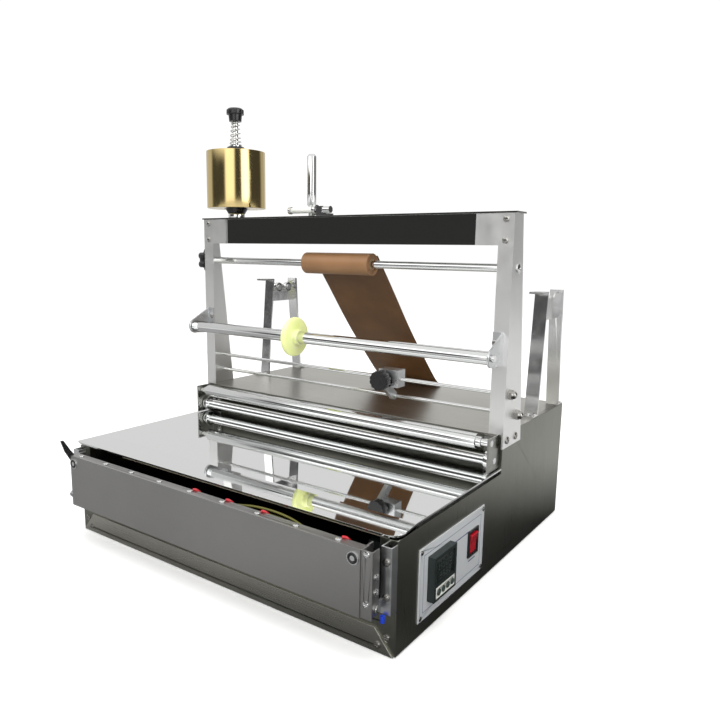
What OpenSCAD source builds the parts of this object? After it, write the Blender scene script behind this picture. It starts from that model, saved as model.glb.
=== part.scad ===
// Bench-top film overwrapping machine: sheet-metal casing with a mirror hot plate,
// a hinged front sealing flap, a film frame with rollers, a tear-tape reel and two roll stands.
// X runs to the operator's right, Y runs away from the operator, Z is up.
// The origin is on the table, under the middle of the bounding box's footprint.

/* [Casing] */
// Width of the casing across the two side panels
body_w = 500; // [480:5:540]
// Depth of the casing from the front face to the rear panel
body_d = 456; // [440:2:480]
// Height of the side panels along the working plate
low_h = 118.5; // [114:0.5:122]
// Height of the rear deck
deck_h = 166; // [158:1:172]
// Distance from the front face to the riser between plate and deck
riser_y = 237; // [236:1:239]
// Thickness of the casing's sheet steel
sheet = 1.5; // [1:0.25:2]
// Gap between the side panels' lower edge and the table
skirt_gap = 1.5; // [1:0.25:2]

/* [Working plate] */
// Thickness of the mirror plate
plate_t = 2; // [1.5:0.5:3]
// Height of the mirror plate's underside above the side panels
plate_lift = 4.5; // [4:0.5:5]
// Set-back of the mirror plate from the casing's front face
plate_setback = 0; // [0:0.5:6]
// Depth of the mirror plate's front lip, which slopes down towards the flap
lip_d = 35; // [28:1:36]
// Slope of the front lip
lip_slope = 5.5; // [3:0.5:6]
// Radius of the mirror plate's front corners
plate_corner = 14; // [6:1:20]
// Thickness of the aluminium heating block under the plate
hot_t = 10; // [8:1:12]

/* [Front flap] */
// Length of the flap
flap_w = 456; // [440:2:460]
// Height of the flap
flap_h = 67; // [60:1:72]
// Depth of the flap, front to back
flap_d = 22.3; // [18:0.1:24]
// Height of the flap's lower edge above the table
flap_z = 48.6; // [46:0.2:52]
// Clearance between the flap's back and the casing's front face
flap_gap = 7.3; // [6:0.1:9]
// Number of screws along the top of the flap
flap_screw_count = 9; // [5:2:11]

/* [Film frame] */
// Distance from the front face to the front of the uprights
frame_y = 232; // [230:0.5:233]
// Height of the crossbar's top edge
frame_h = 425; // [400:5:450]
// Height of the crossbar's front face
crossbar_h = 36; // [30:1:42]
// Width of the uprights' front flange
flange_w = 18.5; // [16:0.5:22]
// Depth of the uprights' side plate at the top
upright_top_d = 25.5; // [24:0.5:30]
// Depth of the uprights' side plate at its foot
upright_foot_d = 57; // [50:1:64]
// Diameter of the upper rod
upper_rod_d = 10; // [8:1:12]
// Diameter of the two lower guide rods
guide_rod_d = 5; // [4:0.5:6]

/* [Rollers] */
// Diameter of the upper film roller
upper_roller_d = 18; // [16:1:19]
// Diameter of the lower film roller
lower_roller_d = 14; // [12:1:15]
// Diameter of the lower roller's end discs
roller_disc_d = 22; // [18:1:22]
// Diameter of the idler tube in front of the frame
idler_d = 16; // [14:1:20]
// Diameter of the guide wheel on the idler tube
wheel_d = 54; // [46:1:60]
// Radial running clearance of every shaft in its bore
run_fit = 0.05; // [0.02:0.01:0.1]

/* [Release cloth] */
// Diameter of the rolled-up release cloth
cloth_roll_d = 30; // [24:1:36]
// Width of the release cloth
cloth_w = 112; // [90:1:130]

/* [Tear-tape reel] */
// Diameter of the tape reel
tape_d = 87; // [70:1:90]
// Height of the tape reel
tape_h = 82; // [70:1:84]
// Sideways place of the reel's spindle
tape_x = -195; // [-198:1:-185]

/* [Roll stands] */
// Width of the stands' bent strip
stand_strip_w = 18; // [16:1:20]
// Height of the stands above the table
stand_h = 331; // [310:1:345]
// How far each leg splays between its top and its foot
stand_splay = 14; // [8:1:15]

/* [Hidden] */
$fn = 64;

SIDES = [-1, 1];

// Casing
half_w = body_w / 2;
inner_w = half_w - sheet;
front_return = 20;
pan_z = 6;
sill_h = 46;

// Panel on the right side
panel_y = [40, 190];
panel_z = [17, 95];
panel_t = 1.2;
panel_face = half_w + panel_t;
ctrl_y = 81;
ctrl_z = 58;
ctrl_size = 48;
ctrl_cut = 45;
ctrl_out = 8;
ctrl_face = panel_face + ctrl_out;
button_r = 3.3;
button_pitch = 9.7;
button_z = ctrl_z - 15;
button_travel = 0.8;
rocker_y = 160.2;
rocker_z = 60.5;
rocker_bezel_size = [25.5, 31];
rocker_cut_size = [22.4, 29];
rocker_pivot_x = panel_face - 4;
rocker_tilt = 8;

// Electrical pieces inside
vent_count = 12;
vent_pitch = 14;
inlet_x = -180;
inlet_z = 60;
terminal_x = [-60, 40];
terminal_y = [380, 402];
terminal_h = 20;
lead_r = 1.5;
crimp_r = 2.6;
HEATER_LEAD = [[-60, 391, 20], [-228, 391, 20], [-228, 380, 60], [-228, 170, 66], [-222, 60, 84],
               [-200, 14, 88], [-140, 10, 84], [-60, 8, 80], [20, 9, 86], [100, 8, 82], [170, 10, 78],
               [200, 12, 60], [213, 7, 52], [221, 1, 48.3], [226, -4.5, 44], [232, -10, 41.2],
               [237, -13, 41.8]];
CRIMP = [[238.5, -13.4, 42.6], [241.8, -13.6, 46], [243.6, -13.6, 49.5]];

// Working plate
plate_under = low_h + plate_lift;
plate_z = plate_under + plate_t;
lip_y = plate_setback + lip_d;
lip_drop = (lip_d + 1) * tan(lip_slope);
plate_ear = 10;
ledge_w = 14;
ledge_y = lip_y + 5;
skirt_x = half_w - 12;
hot_y = [lip_y + 5, 200];
hot_half = 215;
heater_ys = [64, 120, 176];
heater_z = plate_under - 7;
heater_r = 5;
probe_r = 2.5;

// Front flap
flap_half = flap_w / 2;
flap_back = -flap_gap;
flap_front = -flap_gap - flap_d;
flap_top = flap_z + flap_h;
flap_lip_d = 12;
pivot_y = -20;
pivot_z = flap_z + 9.2;
pin_r = 3;
flap_pitch = 51.3;
flap_screw_shift = -6;
flap_heater_half = 218;
flap_screw_y = flap_front + flap_lip_d / 2;
stud_x = 220;
stud_z = flap_top - 10;
stud_r = 6.4;
handle_at = [-20, flap_top - 12];
handle_reach = 21;
handle_t = 1.6;

// Channel on the flap's right end, and the channels on the casing's corners that carry the hinge pins
end_channel_x = flap_half + 12.6;
end_channel_y = [flap_front + 1.6, -16];
hinge_x = [238.3, half_w];
hinge_y = -10.5;
hinge_z = [49, 115.4];
hinge_wall = 1.5;
ear_r = 5;
hinge_pin_head_x = end_channel_x + 0.2;
hinge_pin_head_r = 4.2;

// Film frame
plate_x = half_w;
upright_t = 2;
upright_out = half_w + upright_t;
flange_y = frame_y + upright_t;
flange_z = deck_h + 2;
upright_foot_z = 150;
head_w = 47;
head_screw_x = half_w - 8;
head_screws_z = [frame_h - 30.5, frame_h - 6.5];
crossbar_bottom = frame_h - crossbar_h;
crossbar_depth = 25;
cap_t = 2;
cap_z = frame_h + cap_t;
upper_rod_y = 250;
upper_rod_z = 363;
rod_front = [243, 215.5];
rod_rear = [267, 186.5];

// Rollers and idler
upper_roller_at = [213, plate_z + 36];
lower_roller_at = [223.5, plate_z + 12.5];
roller_half = 228;
lower_half = 236;
journal_r = 4;
bracket_x = 244.5;
bracket_t = 2;
idler_at = [202, 263];
idler_half = 243;
ear_x = 244;
ear_t = 2.5;
wheel_x = -48;
wheel_w = 8;
hub_w = 7;

// Guide block on the lower rods
block_x = [74, 104];
block_y = [234, 252];
block_z = [205, 228];
block_knob = [82, 214];

// Tear-tape reel
tape_y = 246;
spindle_r = 4;
collar_h = 6;
cone_z = cap_z + collar_h + 0.3;
cone_h = 7.5;
reel_z = cone_z + cone_h;
reel_top = reel_z + tape_h;
core_r = 19;
spring_z = reel_top + cone_h + 1.8;
spring_h = 34;
spring_turns = 6;
spring_wire_r = 0.9;
tape_knob_z = spring_z + spring_h + 0.3;

// Tape guide on the crossbar
guide_bar_y = 241;
guide_post = [-55, 252.5];
guide_bar_z = cap_z + 8;

// Roll stands
stand_t = 2.5;
stand_in = half_w - 1 - stand_strip_w;
stand_front_y = 368;
stand_rear_y = 428;
stand_bearing_ys = [386, 410];
stand_bearing_z = 316;
stand_bearing_r = 8;
stand_pin_r = 2.5;

// Release cloth, from the back of its roll to its hanging end
cloth_t = 1;
cloth_x = [-cloth_w / 2 - 5, cloth_w / 2 - 5];
cloth_drop_y = body_d + 6;
cloth_lift_angle = 43;
CLOTH_TOP = [upper_rod_y, upper_rod_z]
    + (cloth_roll_d / 2 + 0.6) * [cos(cloth_lift_angle), sin(cloth_lift_angle)];
CLOTH_LINE = [CLOTH_TOP, [300, 330], [351, 270], [396, 222], [440, 179], [body_d + 1.5, deck_h + 2],
              [body_d + 5, deck_h - 8], [cloth_drop_y, deck_h - 40]];

// Reach of the outermost pieces, which sets the origin under the bounding box
knob_depth = 19.2;
nut_hex_h = 5;
nut_r = 6.2;
nut_dome = 0.82;
knob_gap = 0.4;
low_corner = [-upright_out - knob_gap - knob_depth, handle_at[0] - handle_reach];
high_corner = [upright_out + nut_hex_h + nut_r * nut_dome, cloth_drop_y + cloth_t];
centre = (low_corner + high_corner) / 2;

// Screw and nut places: [point, direction that the head faces]
CASING_SCREWS = [
    for (s = SIDES) [[s * 230.5, -2, 8.5], [0, -1, 0]],
    for (s = SIDES) [[s * 240, 0, 18.3], [0, -1, 0]]
];
HINGE_SCREWS = [for (s = SIDES, z = [65.8, 100.8]) [[s * 244.5, hinge_y, z], [0, -1, 0]]];
FLAP_END_SCREWS = [
    for (z = [63.1, 112]) [[flap_half + 6.2, end_channel_y[0], z], [0, -1, 0]],
    for (z = [74.6, 89.4]) [[end_channel_x, pivot_y - 1.6, z], [1, 0, 0]]
];
PANEL_SCREWS = [
    for (y = [panel_y[0] + 4, panel_y[1] - 4], z = [panel_z[0] + 4, panel_z[1] - 4])
        [[panel_face, y, z], [1, 0, 0]]
];
HEAD_SCREWS = [for (s = SIDES, z = head_screws_z) [[s * head_screw_x, frame_y, z], [0, -1, 0]]];
FOOT_SCREWS = [for (s = SIDES, y = [244.5, 270.5]) [[s * upright_out, y, 159], [s, 0, 0]]];
EAR_SCREWS = [for (s = SIDES) [[s * 237, frame_y - ear_t, 277], [0, -1, 0]]];
STAND_SCREWS = [
    for (s = SIDES, x = [stand_in + 4.5, stand_in + stand_strip_w - 4.5])
        each [[[s * x, stand_front_y - stand_splay - 9, deck_h + stand_t], [0, 0, 1]],
              [[s * x, stand_rear_y + stand_splay + 6, deck_h + stand_t], [0, 0, 1]]]
];
ROLLER_SCREWS = [for (s = SIDES, z = [140, 156]) [[s * 231.5, riser_y - bracket_t, z], [0, -1, 0]]];
ROD_NUTS = [for (s = SIDES, at = [rod_front, rod_rear]) [[s * upright_out, at[0], at[1]], [s, 0, 0]]];

// ---- Shared shapes ----------------------------------------------------------

// Moves a piece from the casing's own front-centre frame to the part's origin
module placed() {
    translate([-centre[0], -centre[1], 0]) children();
}

// Box given by its lowest and highest corners
module box(low, high) {
    translate(low) cube(high - low);
}

// Cylinder along X from x0 to x1, at the given Y and Z
module rod_x(x0, x1, at, r) {
    translate([min(x0, x1), at[0], at[1]]) rotate([0, 90, 0]) cylinder(h = abs(x1 - x0), r = r);
}

// Cylinder along Y from y0 to y1, at the given X and Z
module rod_y(y0, y1, at, r) {
    translate([at[0], max(y0, y1), at[1]]) rotate([90, 0, 0]) cylinder(h = abs(y1 - y0), r = r);
}

// Extrusion along X of an outline drawn in Y and Z
module profile_x(x0, x1) {
    translate([min(x0, x1), 0, 0]) rotate([90, 0, 90]) linear_extrude(abs(x1 - x0)) children();
}

// Children turned from +Z to the given axis direction
module facing(dir) {
    turn = dir[2] == 1 ? [0, 0, 0] : dir[2] == -1 ? [180, 0, 0]
         : dir[0] != 0 ? [0, 90 * dir[0], 0] : [-90 * dir[1], 0, 0];
    rotate(turn) children();
}

// Domed screw head with a shank, head seat at the origin, facing +Z
module screw(head_r, shank_r, shank) {
    difference() {
        rotate_extrude() polygon(concat(
            [[0, -shank], [shank_r, -shank], [shank_r, 0], [head_r, 0], [head_r, head_r * 0.25]],
            [for (a = [30 : 20 : 90])
                head_r * [0.98 * cos(a) / cos(30), 0.25 + 0.5 * (sin(a) - 0.5)]]
        ));
        for (a = [0, 90]) rotate(a) translate([-head_r * 0.55, -head_r * 0.1, head_r * 0.28])
            cube([head_r * 1.1, head_r * 0.2, head_r]);
    }
}

module screws_at(places, head_r, shank_r, shank) {
    for (p = places) translate(p[0]) facing(p[1]) screw(head_r, shank_r, shank);
}

// Clearance holes for the same places
module holes_at(places, r, depth) {
    for (p = places) translate(p[0]) facing(p[1]) translate([0, 0, -depth]) cylinder(h = depth + 1, r = r);
}

// Hexagon nut with a domed cap, seat at the origin, facing +Z, bored for the rod
module cap_nut(flat_r, bore_r) {
    difference() {
        union() {
            cylinder(h = nut_hex_h, r = flat_r, $fn = 6);
            translate([0, 0, nut_hex_h]) rotate_extrude() polygon(concat(
                [[0, 0]],
                [for (a = [0 : 15 : 90]) flat_r * nut_dome * [cos(a), sin(a)]]
            ));
        }
        translate([0, 0, -1]) cylinder(h = nut_hex_h + 1, r = bore_r);
    }
}

function unit(v) = v / norm(v);
function xyz(p) = [p[0], p[1], p[2]];

// Ring of points round place i of a path, square to the path there
function path_ring(path, i, normal, sides) =
    let (ahead = xyz(path[min(i + 1, len(path) - 1)]),
         behind = xyz(path[max(i - 1, 0)]),
         side = unit(cross(ahead - behind, normal)),
         up = unit(cross(side, ahead - behind)))
    [for (k = [0 : sides - 1])
        let (w = 360 * k / sides)
        xyz(path[i]) + path[i][3] * (side * cos(w) + up * sin(w))];

// Tube along a path of [x, y, z, radius]; the normal is never parallel to the path
module swept(path, normal, sides = 8) {
    last = len(path) - 1;
    points = [for (i = [0 : last]) each path_ring(path, i, normal, sides)];
    walls = [for (i = [0 : last - 1], k = [0 : sides - 1])
        let (next = (k + 1) % sides)
        [i * sides + k, i * sides + next, (i + 1) * sides + next, (i + 1) * sides + k]];
    start = [for (k = [sides - 1 : -1 : 0]) k];
    finish = [for (k = [0 : sides - 1]) last * sides + k];
    polyhedron(points, concat(walls, [start, finish]), convexity = 10);
}

// ---- Casing -----------------------------------------------------------------

// Openings for the controller and the switch, through the side panel and its plate
module panel_cutouts() {
    box([inner_w - 1, ctrl_y - ctrl_cut / 2, ctrl_z - ctrl_cut / 2],
        [panel_face + 1, ctrl_y + ctrl_cut / 2, ctrl_z + ctrl_cut / 2]);
    box([inner_w - 1, rocker_y - rocker_cut_size[0] / 2, rocker_z - rocker_cut_size[1] / 2],
        [panel_face + 1, rocker_y + rocker_cut_size[0] / 2, rocker_z + rocker_cut_size[1] / 2]);
}

// Side panel with its front return flange and the ledge that carries the mirror plate
module side_panel() {
    difference() {
        union() {
            profile_x(inner_w, half_w) polygon([
                [0, skirt_gap], [body_d, skirt_gap], [body_d, deck_h], [riser_y, deck_h],
                [riser_y, low_h], [0, low_h]
            ]);
            box([half_w - front_return, 0, skirt_gap], [inner_w, sheet, low_h]);
            box([half_w - ledge_w, ledge_y, low_h - sheet], [inner_w, riser_y, low_h]);
        }
        holes_at(FOOT_SCREWS, 2.1, 8);
        holes_at(CASING_SCREWS, 2.1, 8);
        holes_at(HINGE_SCREWS, 2.1, 14);
    }
}

module left_side() {
    color("DimGray") mirror([1, 0, 0]) side_panel();
}

module right_side() {
    color("DimGray") difference() {
        side_panel();
        panel_cutouts();
        holes_at(PANEL_SCREWS, 1.6, 6);
    }
}

module rear_panel() {
    color("Gray") difference() {
        box([-inner_w, body_d - sheet, skirt_gap], [inner_w, body_d, deck_h - sheet]);
        box([inlet_x - 14, body_d - 5, inlet_z - 10.2], [inlet_x + 14, body_d + 1, inlet_z + 10.2]);
        for (i = [0 : vent_count - 1])
            box([40 + i * vent_pitch, body_d - 5, 50], [44 + i * vent_pitch, body_d + 1, 110]);
    }
}

// Deck and riser are one bent sheet
module rear_deck() {
    color("LightGray") difference() {
        union() {
            box([-inner_w, riser_y, deck_h - sheet], [inner_w, body_d, deck_h]);
            box([-inner_w, riser_y, low_h], [inner_w, riser_y + sheet, deck_h]);
        }
        holes_at(STAND_SCREWS, 2.1, 8);
        holes_at(ROLLER_SCREWS, 2.1, 8);
    }
}

module bottom_pan() {
    color("Gray") difference() {
        union() {
            box([-inner_w, sheet, pan_z], [inner_w, body_d - sheet, pan_z + sheet]);
            box([front_return - half_w + 0.2, 0, skirt_gap], [half_w - front_return - 0.2, sheet, sill_h]);
        }
        holes_at(CASING_SCREWS, 2.1, 8);
    }
}

module kick_plate() {
    color("DimGray") difference() {
        rotate([90, 0, 0]) linear_extrude(2) polygon([
            [-248, skirt_gap - 0.7], [248, skirt_gap - 0.7], [227, 26], [-227, 26]
        ]);
        holes_at(CASING_SCREWS, 2.1, 8);
    }
}

module rubber_feet() {
    color("Black") for (s = SIDES, y = [24, body_d - 24])
        translate([s * (half_w - 22), y, 0])
            rotate_extrude() polygon([[0, 0], [9, 0], [11, pan_z], [0, pan_z]]);
}

// ---- Working plate and its heating ------------------------------------------

// Outline of the mirror plate: rounded right front corner, drawn-out left one
module plate_outline() {
    translate([half_w - plate_corner, plate_setback + plate_corner]) circle(plate_corner);
    polygon([
        [half_w, riser_y], [half_w, plate_setback + plate_corner], [half_w - plate_corner, plate_setback],
        [-half_w, plate_setback], [-half_w - plate_ear, plate_setback + 3], [-half_w, lip_y],
        [-half_w, riser_y]
    ]);
}

// Mirror plate: flat, with a sloping front lip, on two skirts that stand on the side panels' ledges
module top_plate() {
    color("White") union() {
        intersection() {
            translate([0, 0, low_h]) linear_extrude(plate_lift + plate_t + 1) plate_outline();
            profile_x(-half_w - plate_ear - 1, half_w + 1) polygon([
                [plate_setback - 1, plate_under - lip_drop], [lip_y, plate_under], [riser_y, plate_under],
                [riser_y, plate_z], [lip_y, plate_z], [plate_setback - 1, plate_z - lip_drop]
            ]);
        }
        for (s = SIDES) box([min(s * skirt_x, s * (skirt_x + 2)), ledge_y + 2, low_h],
                            [max(s * skirt_x, s * (skirt_x + 2)), riser_y - 2, plate_under]);
    }
}

module hot_plate() {
    color("Silver") difference() {
        box([-hot_half, hot_y[0], plate_under - hot_t - 4], [hot_half, hot_y[1], plate_under]);
        for (y = heater_ys) rod_x(-hot_half - 1, hot_half + 1, [y, heater_z], heater_r + run_fit);
        rod_x(hot_half - 32, hot_half + 1, [hot_y[0] + 12, heater_z], probe_r + run_fit);
    }
}

module cartridge_heaters() {
    color("Goldenrod") for (y = heater_ys) rod_x(-hot_half, hot_half - 2, [y, heater_z], heater_r);
}

module insulation_board() {
    color("Wheat") box([-hot_half, hot_y[0], plate_under - hot_t - 16],
                       [hot_half, hot_y[1], plate_under - hot_t - 4]);
}

module temperature_probe() {
    color("Silver") rod_x(hot_half - 30, hot_half + 6, [hot_y[0] + 12, heater_z], probe_r);
}

// ---- Control panel ----------------------------------------------------------

module control_panel() {
    color("Gainsboro") difference() {
        box([half_w, panel_y[0], panel_z[0]], [panel_face, panel_y[1], panel_z[1]]);
        panel_cutouts();
        holes_at(PANEL_SCREWS, 1.6, 6);
    }
}

// Centre of button i on the controller's face
function button_at(i) = ctrl_y + (i - 1.5) * button_pitch;

module controller_case() {
    color("DarkSlateGray") difference() {
        union() {
            box([panel_face, ctrl_y - ctrl_size / 2, ctrl_z - ctrl_size / 2],
                [ctrl_face, ctrl_y + ctrl_size / 2, ctrl_z + ctrl_size / 2]);
            box([panel_face - 72, ctrl_y - 22.3, ctrl_z - 22.3],
                [panel_face, ctrl_y + 22.3, ctrl_z + 22.3]);
        }
        box([ctrl_face - 1.5, ctrl_y - 20, ctrl_z - 6], [ctrl_face + 1, ctrl_y + 20, ctrl_z + 20]);
        for (i = [0 : 3]) rod_x(ctrl_face - 4, ctrl_face + 1, [button_at(i), button_z], button_r + 0.3);
    }
}

module controller_button(i) {
    color("LightGray") rod_x(ctrl_face - 2.6, ctrl_face + 1.2, [button_at(i), button_z], button_r);
}

module set_button() { controller_button(0); }
module shift_button() { controller_button(1); }
module down_button() { controller_button(2); }
module up_button() { controller_button(3); }

module rocker_bezel() {
    half = rocker_bezel_size / 2;
    color("Black") difference() {
        union() {
            box([panel_face, rocker_y - half[0], rocker_z - half[1]],
                [panel_face + 2, rocker_y + half[0], rocker_z + half[1]]);
            box([panel_face - 24, rocker_y - 10.9, rocker_z - 14.2],
                [panel_face, rocker_y + 10.9, rocker_z + 14.2]);
        }
        box([panel_face - 14, rocker_y - 9.3, rocker_z - 12.8],
            [panel_face + 3, rocker_y + 9.3, rocker_z + 12.8]);
    }
}

// Rocker with two faces that meet at a shallow angle, tilted to its off position
module rocker_button() {
    color("Red") translate([rocker_pivot_x, rocker_y, rocker_z]) rotate([0, rocker_tilt, 0])
        rotate([90, 0, 0]) linear_extrude(17.6, center = true) polygon([
            [-4, -6], [-1, -11.4], [6.6, -11.4], [5.2, 0], [6.6, 11.4], [-1, 11.4], [-4, 6]
        ]);
}

// ---- Electrical pieces inside -----------------------------------------------

module solid_state_relay() {
    color("WhiteSmoke") box([130, 330, pan_z + sheet], [188, 375, pan_z + sheet + 28]);
}

module terminal_block() {
    color("Ivory") difference() {
        box([terminal_x[0], terminal_y[0], pan_z + sheet],
            [terminal_x[1], terminal_y[1], pan_z + sheet + terminal_h]);
        for (x = [terminal_x[0] + 10 : 16 : terminal_x[1] - 10])
            translate([x, (terminal_y[0] + terminal_y[1]) / 2, pan_z + sheet + 12]) cylinder(h = 10, r = 3);
    }
}

// Mains inlet socket with its three blades, flush in the rear panel
module power_inlet() {
    color("Black") difference() {
        union() {
            box([inlet_x - 13.8, body_d - 24, inlet_z - 10], [inlet_x + 13.8, body_d, inlet_z + 10]);
            box([inlet_x - 24, body_d, inlet_z - 12], [inlet_x + 24, body_d + 2.5, inlet_z + 12]);
        }
        box([inlet_x - 12.2, body_d - 16, inlet_z - 8.4], [inlet_x + 12.2, body_d + 4, inlet_z + 8.4]);
    }
    color("Silver") for (p = [[-7, -1], [0, 2.6], [7, -1]])
        box([inlet_x + p[0] - 1, body_d - 16, inlet_z + p[1] - 2.4],
            [inlet_x + p[0] + 1, body_d - 3, inlet_z + p[1] + 2.4]);
}

// Lead from the terminal block along the heaters and out to the flap, with a crimp sleeve
module internal_wiring() {
    color("Khaki") swept(concat(
        [for (p = HEATER_LEAD) concat(p, lead_r)],
        [for (p = CRIMP) concat(p, crimp_r)]
    ), [1, 0.3, 0.8]);
}

// ---- Film frame -------------------------------------------------------------

// Tapered upright: side plate, front flange and widened head, with holes for its rods
module upright() {
    difference() {
        union() {
            profile_x(plate_x, upright_out) polygon([
                [frame_y, upright_foot_z], [frame_y + upright_foot_d, upright_foot_z],
                [frame_y + upright_top_d, frame_h], [frame_y, frame_h]
            ]);
            box([upright_out - flange_w, frame_y, flange_z], [plate_x, flange_y, frame_h]);
            box([upright_out - head_w, frame_y, crossbar_bottom],
                [upright_out - flange_w, flange_y, frame_h]);
        }
        for (at = [rod_front, rod_rear]) rod_x(plate_x - 1, upright_out + 1, at, guide_rod_d / 2 + 0.1);
        rod_x(plate_x - 1, upright_out + 1, [upper_rod_y, upper_rod_z], 3.1);
        holes_at(HEAD_SCREWS, 2.1, 8);
        holes_at(FOOT_SCREWS, 2.1, 8);
        holes_at(EAR_SCREWS, 2.1, 8);
    }
}

module left_upright() {
    color("Silver") mirror([1, 0, 0]) upright();
}

module right_upright() {
    color("Silver") upright();
}

// Channel-section crossbar with a cap flange on top
module crossbar() {
    color("DarkSlateGray") difference() {
        union() {
            box([-plate_x, flange_y, crossbar_bottom], [plate_x, flange_y + 2, frame_h]);
            box([-plate_x, flange_y, crossbar_bottom],
                [plate_x, frame_y + crossbar_depth, crossbar_bottom + 2]);
            box([-upright_out - 3, frame_y - 1, frame_h],
                [upright_out + 3, frame_y + crossbar_depth + 2, cap_z]);
        }
        holes_at(HEAD_SCREWS, 2.1, 8);
        for (at = [[tape_x, tape_y], guide_post])
            translate([at[0], at[1], frame_h - 1]) cylinder(h = cap_t + 2, r = 3.1);
    }
}

// Upper rod with reduced threaded ends through the side plates
module upper_rod() {
    color("Silver") union() {
        rod_x(-plate_x + 0.2, plate_x - 0.2, [upper_rod_y, upper_rod_z], upper_rod_d / 2);
        rod_x(-upright_out - 12, upright_out + 1.2, [upper_rod_y, upper_rod_z], 3);
        translate([upright_out, upper_rod_y, upper_rod_z]) facing([1, 0, 0]) screw(5.5, 3, 1);
    }
}

// Release cloth from the back of its roll, down to the rear deck and over the rear edge
module cloth_strip() {
    color("SaddleBrown") profile_x(cloth_x[0], cloth_x[1]) polygon(concat(
        CLOTH_LINE,
        [for (i = [len(CLOTH_LINE) - 1 : -1 : 0]) CLOTH_LINE[i] + [cloth_t, i > 4 ? 0.3 : cloth_t * 0.9]]
    ));
}

module cloth_roll() {
    color("Peru") difference() {
        rod_x(cloth_x[0], cloth_x[1], [upper_rod_y, upper_rod_z], cloth_roll_d / 2);
        rod_x(-cloth_w, cloth_w, [upper_rod_y, upper_rod_z], upper_rod_d / 2 + run_fit);
    }
}

// Six-lobed clamping knob outside the left upright
module star_knob() {
    color("Black") translate([-upright_out - knob_gap, upper_rod_y, upper_rod_z])
        rotate([0, -90, 0]) difference() {
            union() {
                cylinder(h = 5, r = 9);
                translate([0, 0, 4]) linear_extrude(12) union() {
                    circle(14);
                    for (a = [0 : 60 : 300]) rotate(a) translate([13, 0]) circle(5.2);
                }
                translate([0, 0, 15]) cylinder(h = 2, r = 12.4);
                translate([0, 0, 17]) cylinder(h = knob_depth - 17, r1 = 12.4, r2 = 9);
            }
            translate([0, 0, -1]) cylinder(h = 13.5, r = 3 + run_fit);
        }
}

// ---- Idler tube -------------------------------------------------------------

// Triangular ear with a tab on the upright's flange
module idler_bracket() {
    difference() {
        union() {
            profile_x(ear_x, ear_x + ear_t) union() {
                polygon([[frame_y, 250], [frame_y, 290], [idler_at[0] - 4, idler_at[1] + 10.2],
                         [idler_at[0] - 4, idler_at[1] - 10.2]]);
                translate(idler_at) circle(11);
            }
            box([upright_out - flange_w, frame_y - ear_t, 252], [ear_x, frame_y, 290]);
        }
        rod_x(ear_x - 1, ear_x + ear_t + 1, idler_at, journal_r + run_fit);
        holes_at(EAR_SCREWS, 2.1, 8);
    }
}

module idler_brackets() {
    color("Silver") for (s = [0, 1]) mirror([s, 0, 0]) idler_bracket();
}

module idler_tube() {
    color("Gainsboro") union() {
        rod_x(-idler_half, idler_half, idler_at, idler_d / 2);
        rod_x(-ear_x - ear_t - 3, ear_x + ear_t + 3, idler_at, journal_r);
    }
}

module guide_wheel() {
    color("LightYellow") difference() {
        union() {
            rod_x(wheel_x, wheel_x + wheel_w, idler_at, wheel_d / 2);
            rod_x(wheel_x + wheel_w, wheel_x + wheel_w + hub_w, idler_at, idler_d / 2 + 2.5);
        }
        rod_x(wheel_x - 1, wheel_x + wheel_w + hub_w + 1, idler_at, idler_d / 2 + run_fit);
    }
}

// ---- Film rollers -----------------------------------------------------------

// Bearing plate with a tab screwed to the riser behind the rollers
module roller_bracket() {
    difference() {
        union() {
            box([bracket_x, 204, plate_z + 1], [bracket_x + bracket_t, riser_y, deck_h + 1.5]);
            box([roller_half - 1, riser_y - bracket_t, plate_z + 3], [bracket_x, riser_y, deck_h - 2]);
        }
        for (at = [upper_roller_at, lower_roller_at])
            rod_x(bracket_x - 1, bracket_x + bracket_t + 1, at, journal_r + run_fit);
        holes_at(ROLLER_SCREWS, 2.1, 6);
    }
}

module roller_brackets() {
    color("DarkGray") for (s = [0, 1]) mirror([s, 0, 0]) roller_bracket();
}

module upper_roller() {
    color("Gainsboro") union() {
        rod_x(-roller_half, roller_half, upper_roller_at, upper_roller_d / 2);
        rod_x(-roller_half - 6, roller_half + 6, upper_roller_at, 6);
        rod_x(-bracket_x - bracket_t, bracket_x + bracket_t, upper_roller_at, journal_r);
    }
}

module lower_roller() {
    color("Gainsboro") union() {
        rod_x(-lower_half, lower_half, lower_roller_at, lower_roller_d / 2);
        for (s = SIDES) rod_x(s * lower_half, s * (lower_half + 7), lower_roller_at, roller_disc_d / 2);
        rod_x(-bracket_x - bracket_t, bracket_x + bracket_t, lower_roller_at, journal_r);
    }
}

// ---- Lower guide rods and the sliding block ---------------------------------

module guide_rods() {
    color("Silver") for (at = [rod_front, rod_rear])
        rod_x(-upright_out - 4.5, upright_out + 4.5, at, guide_rod_d / 2);
}

// Block on the front rod whose arm hooks round the rear rod
module guide_block() {
    color("Silver") difference() {
        union() {
            box([block_x[0], block_y[0], block_z[0]], [block_x[1], block_y[1], block_z[1]]);
            profile_x(block_x[0], block_x[0] + 6) union() {
                polygon([[block_y[0], block_z[0]], [block_y[1], block_z[0] + 2],
                         [rod_rear[0] + 5, rod_rear[1] + 3], [rod_rear[0] - 5, rod_rear[1] - 3]]);
                translate(rod_rear) circle(6);
            }
        }
        rod_x(block_x[0] - 1, block_x[1] + 1, rod_front, guide_rod_d / 2 + run_fit);
        rod_x(block_x[0] - 1, block_x[0] + 7, rod_rear, guide_rod_d / 2 + run_fit);
        rod_y(block_y[0] - 1, block_y[0] + 5, block_knob, 3.1);
    }
}

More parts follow.
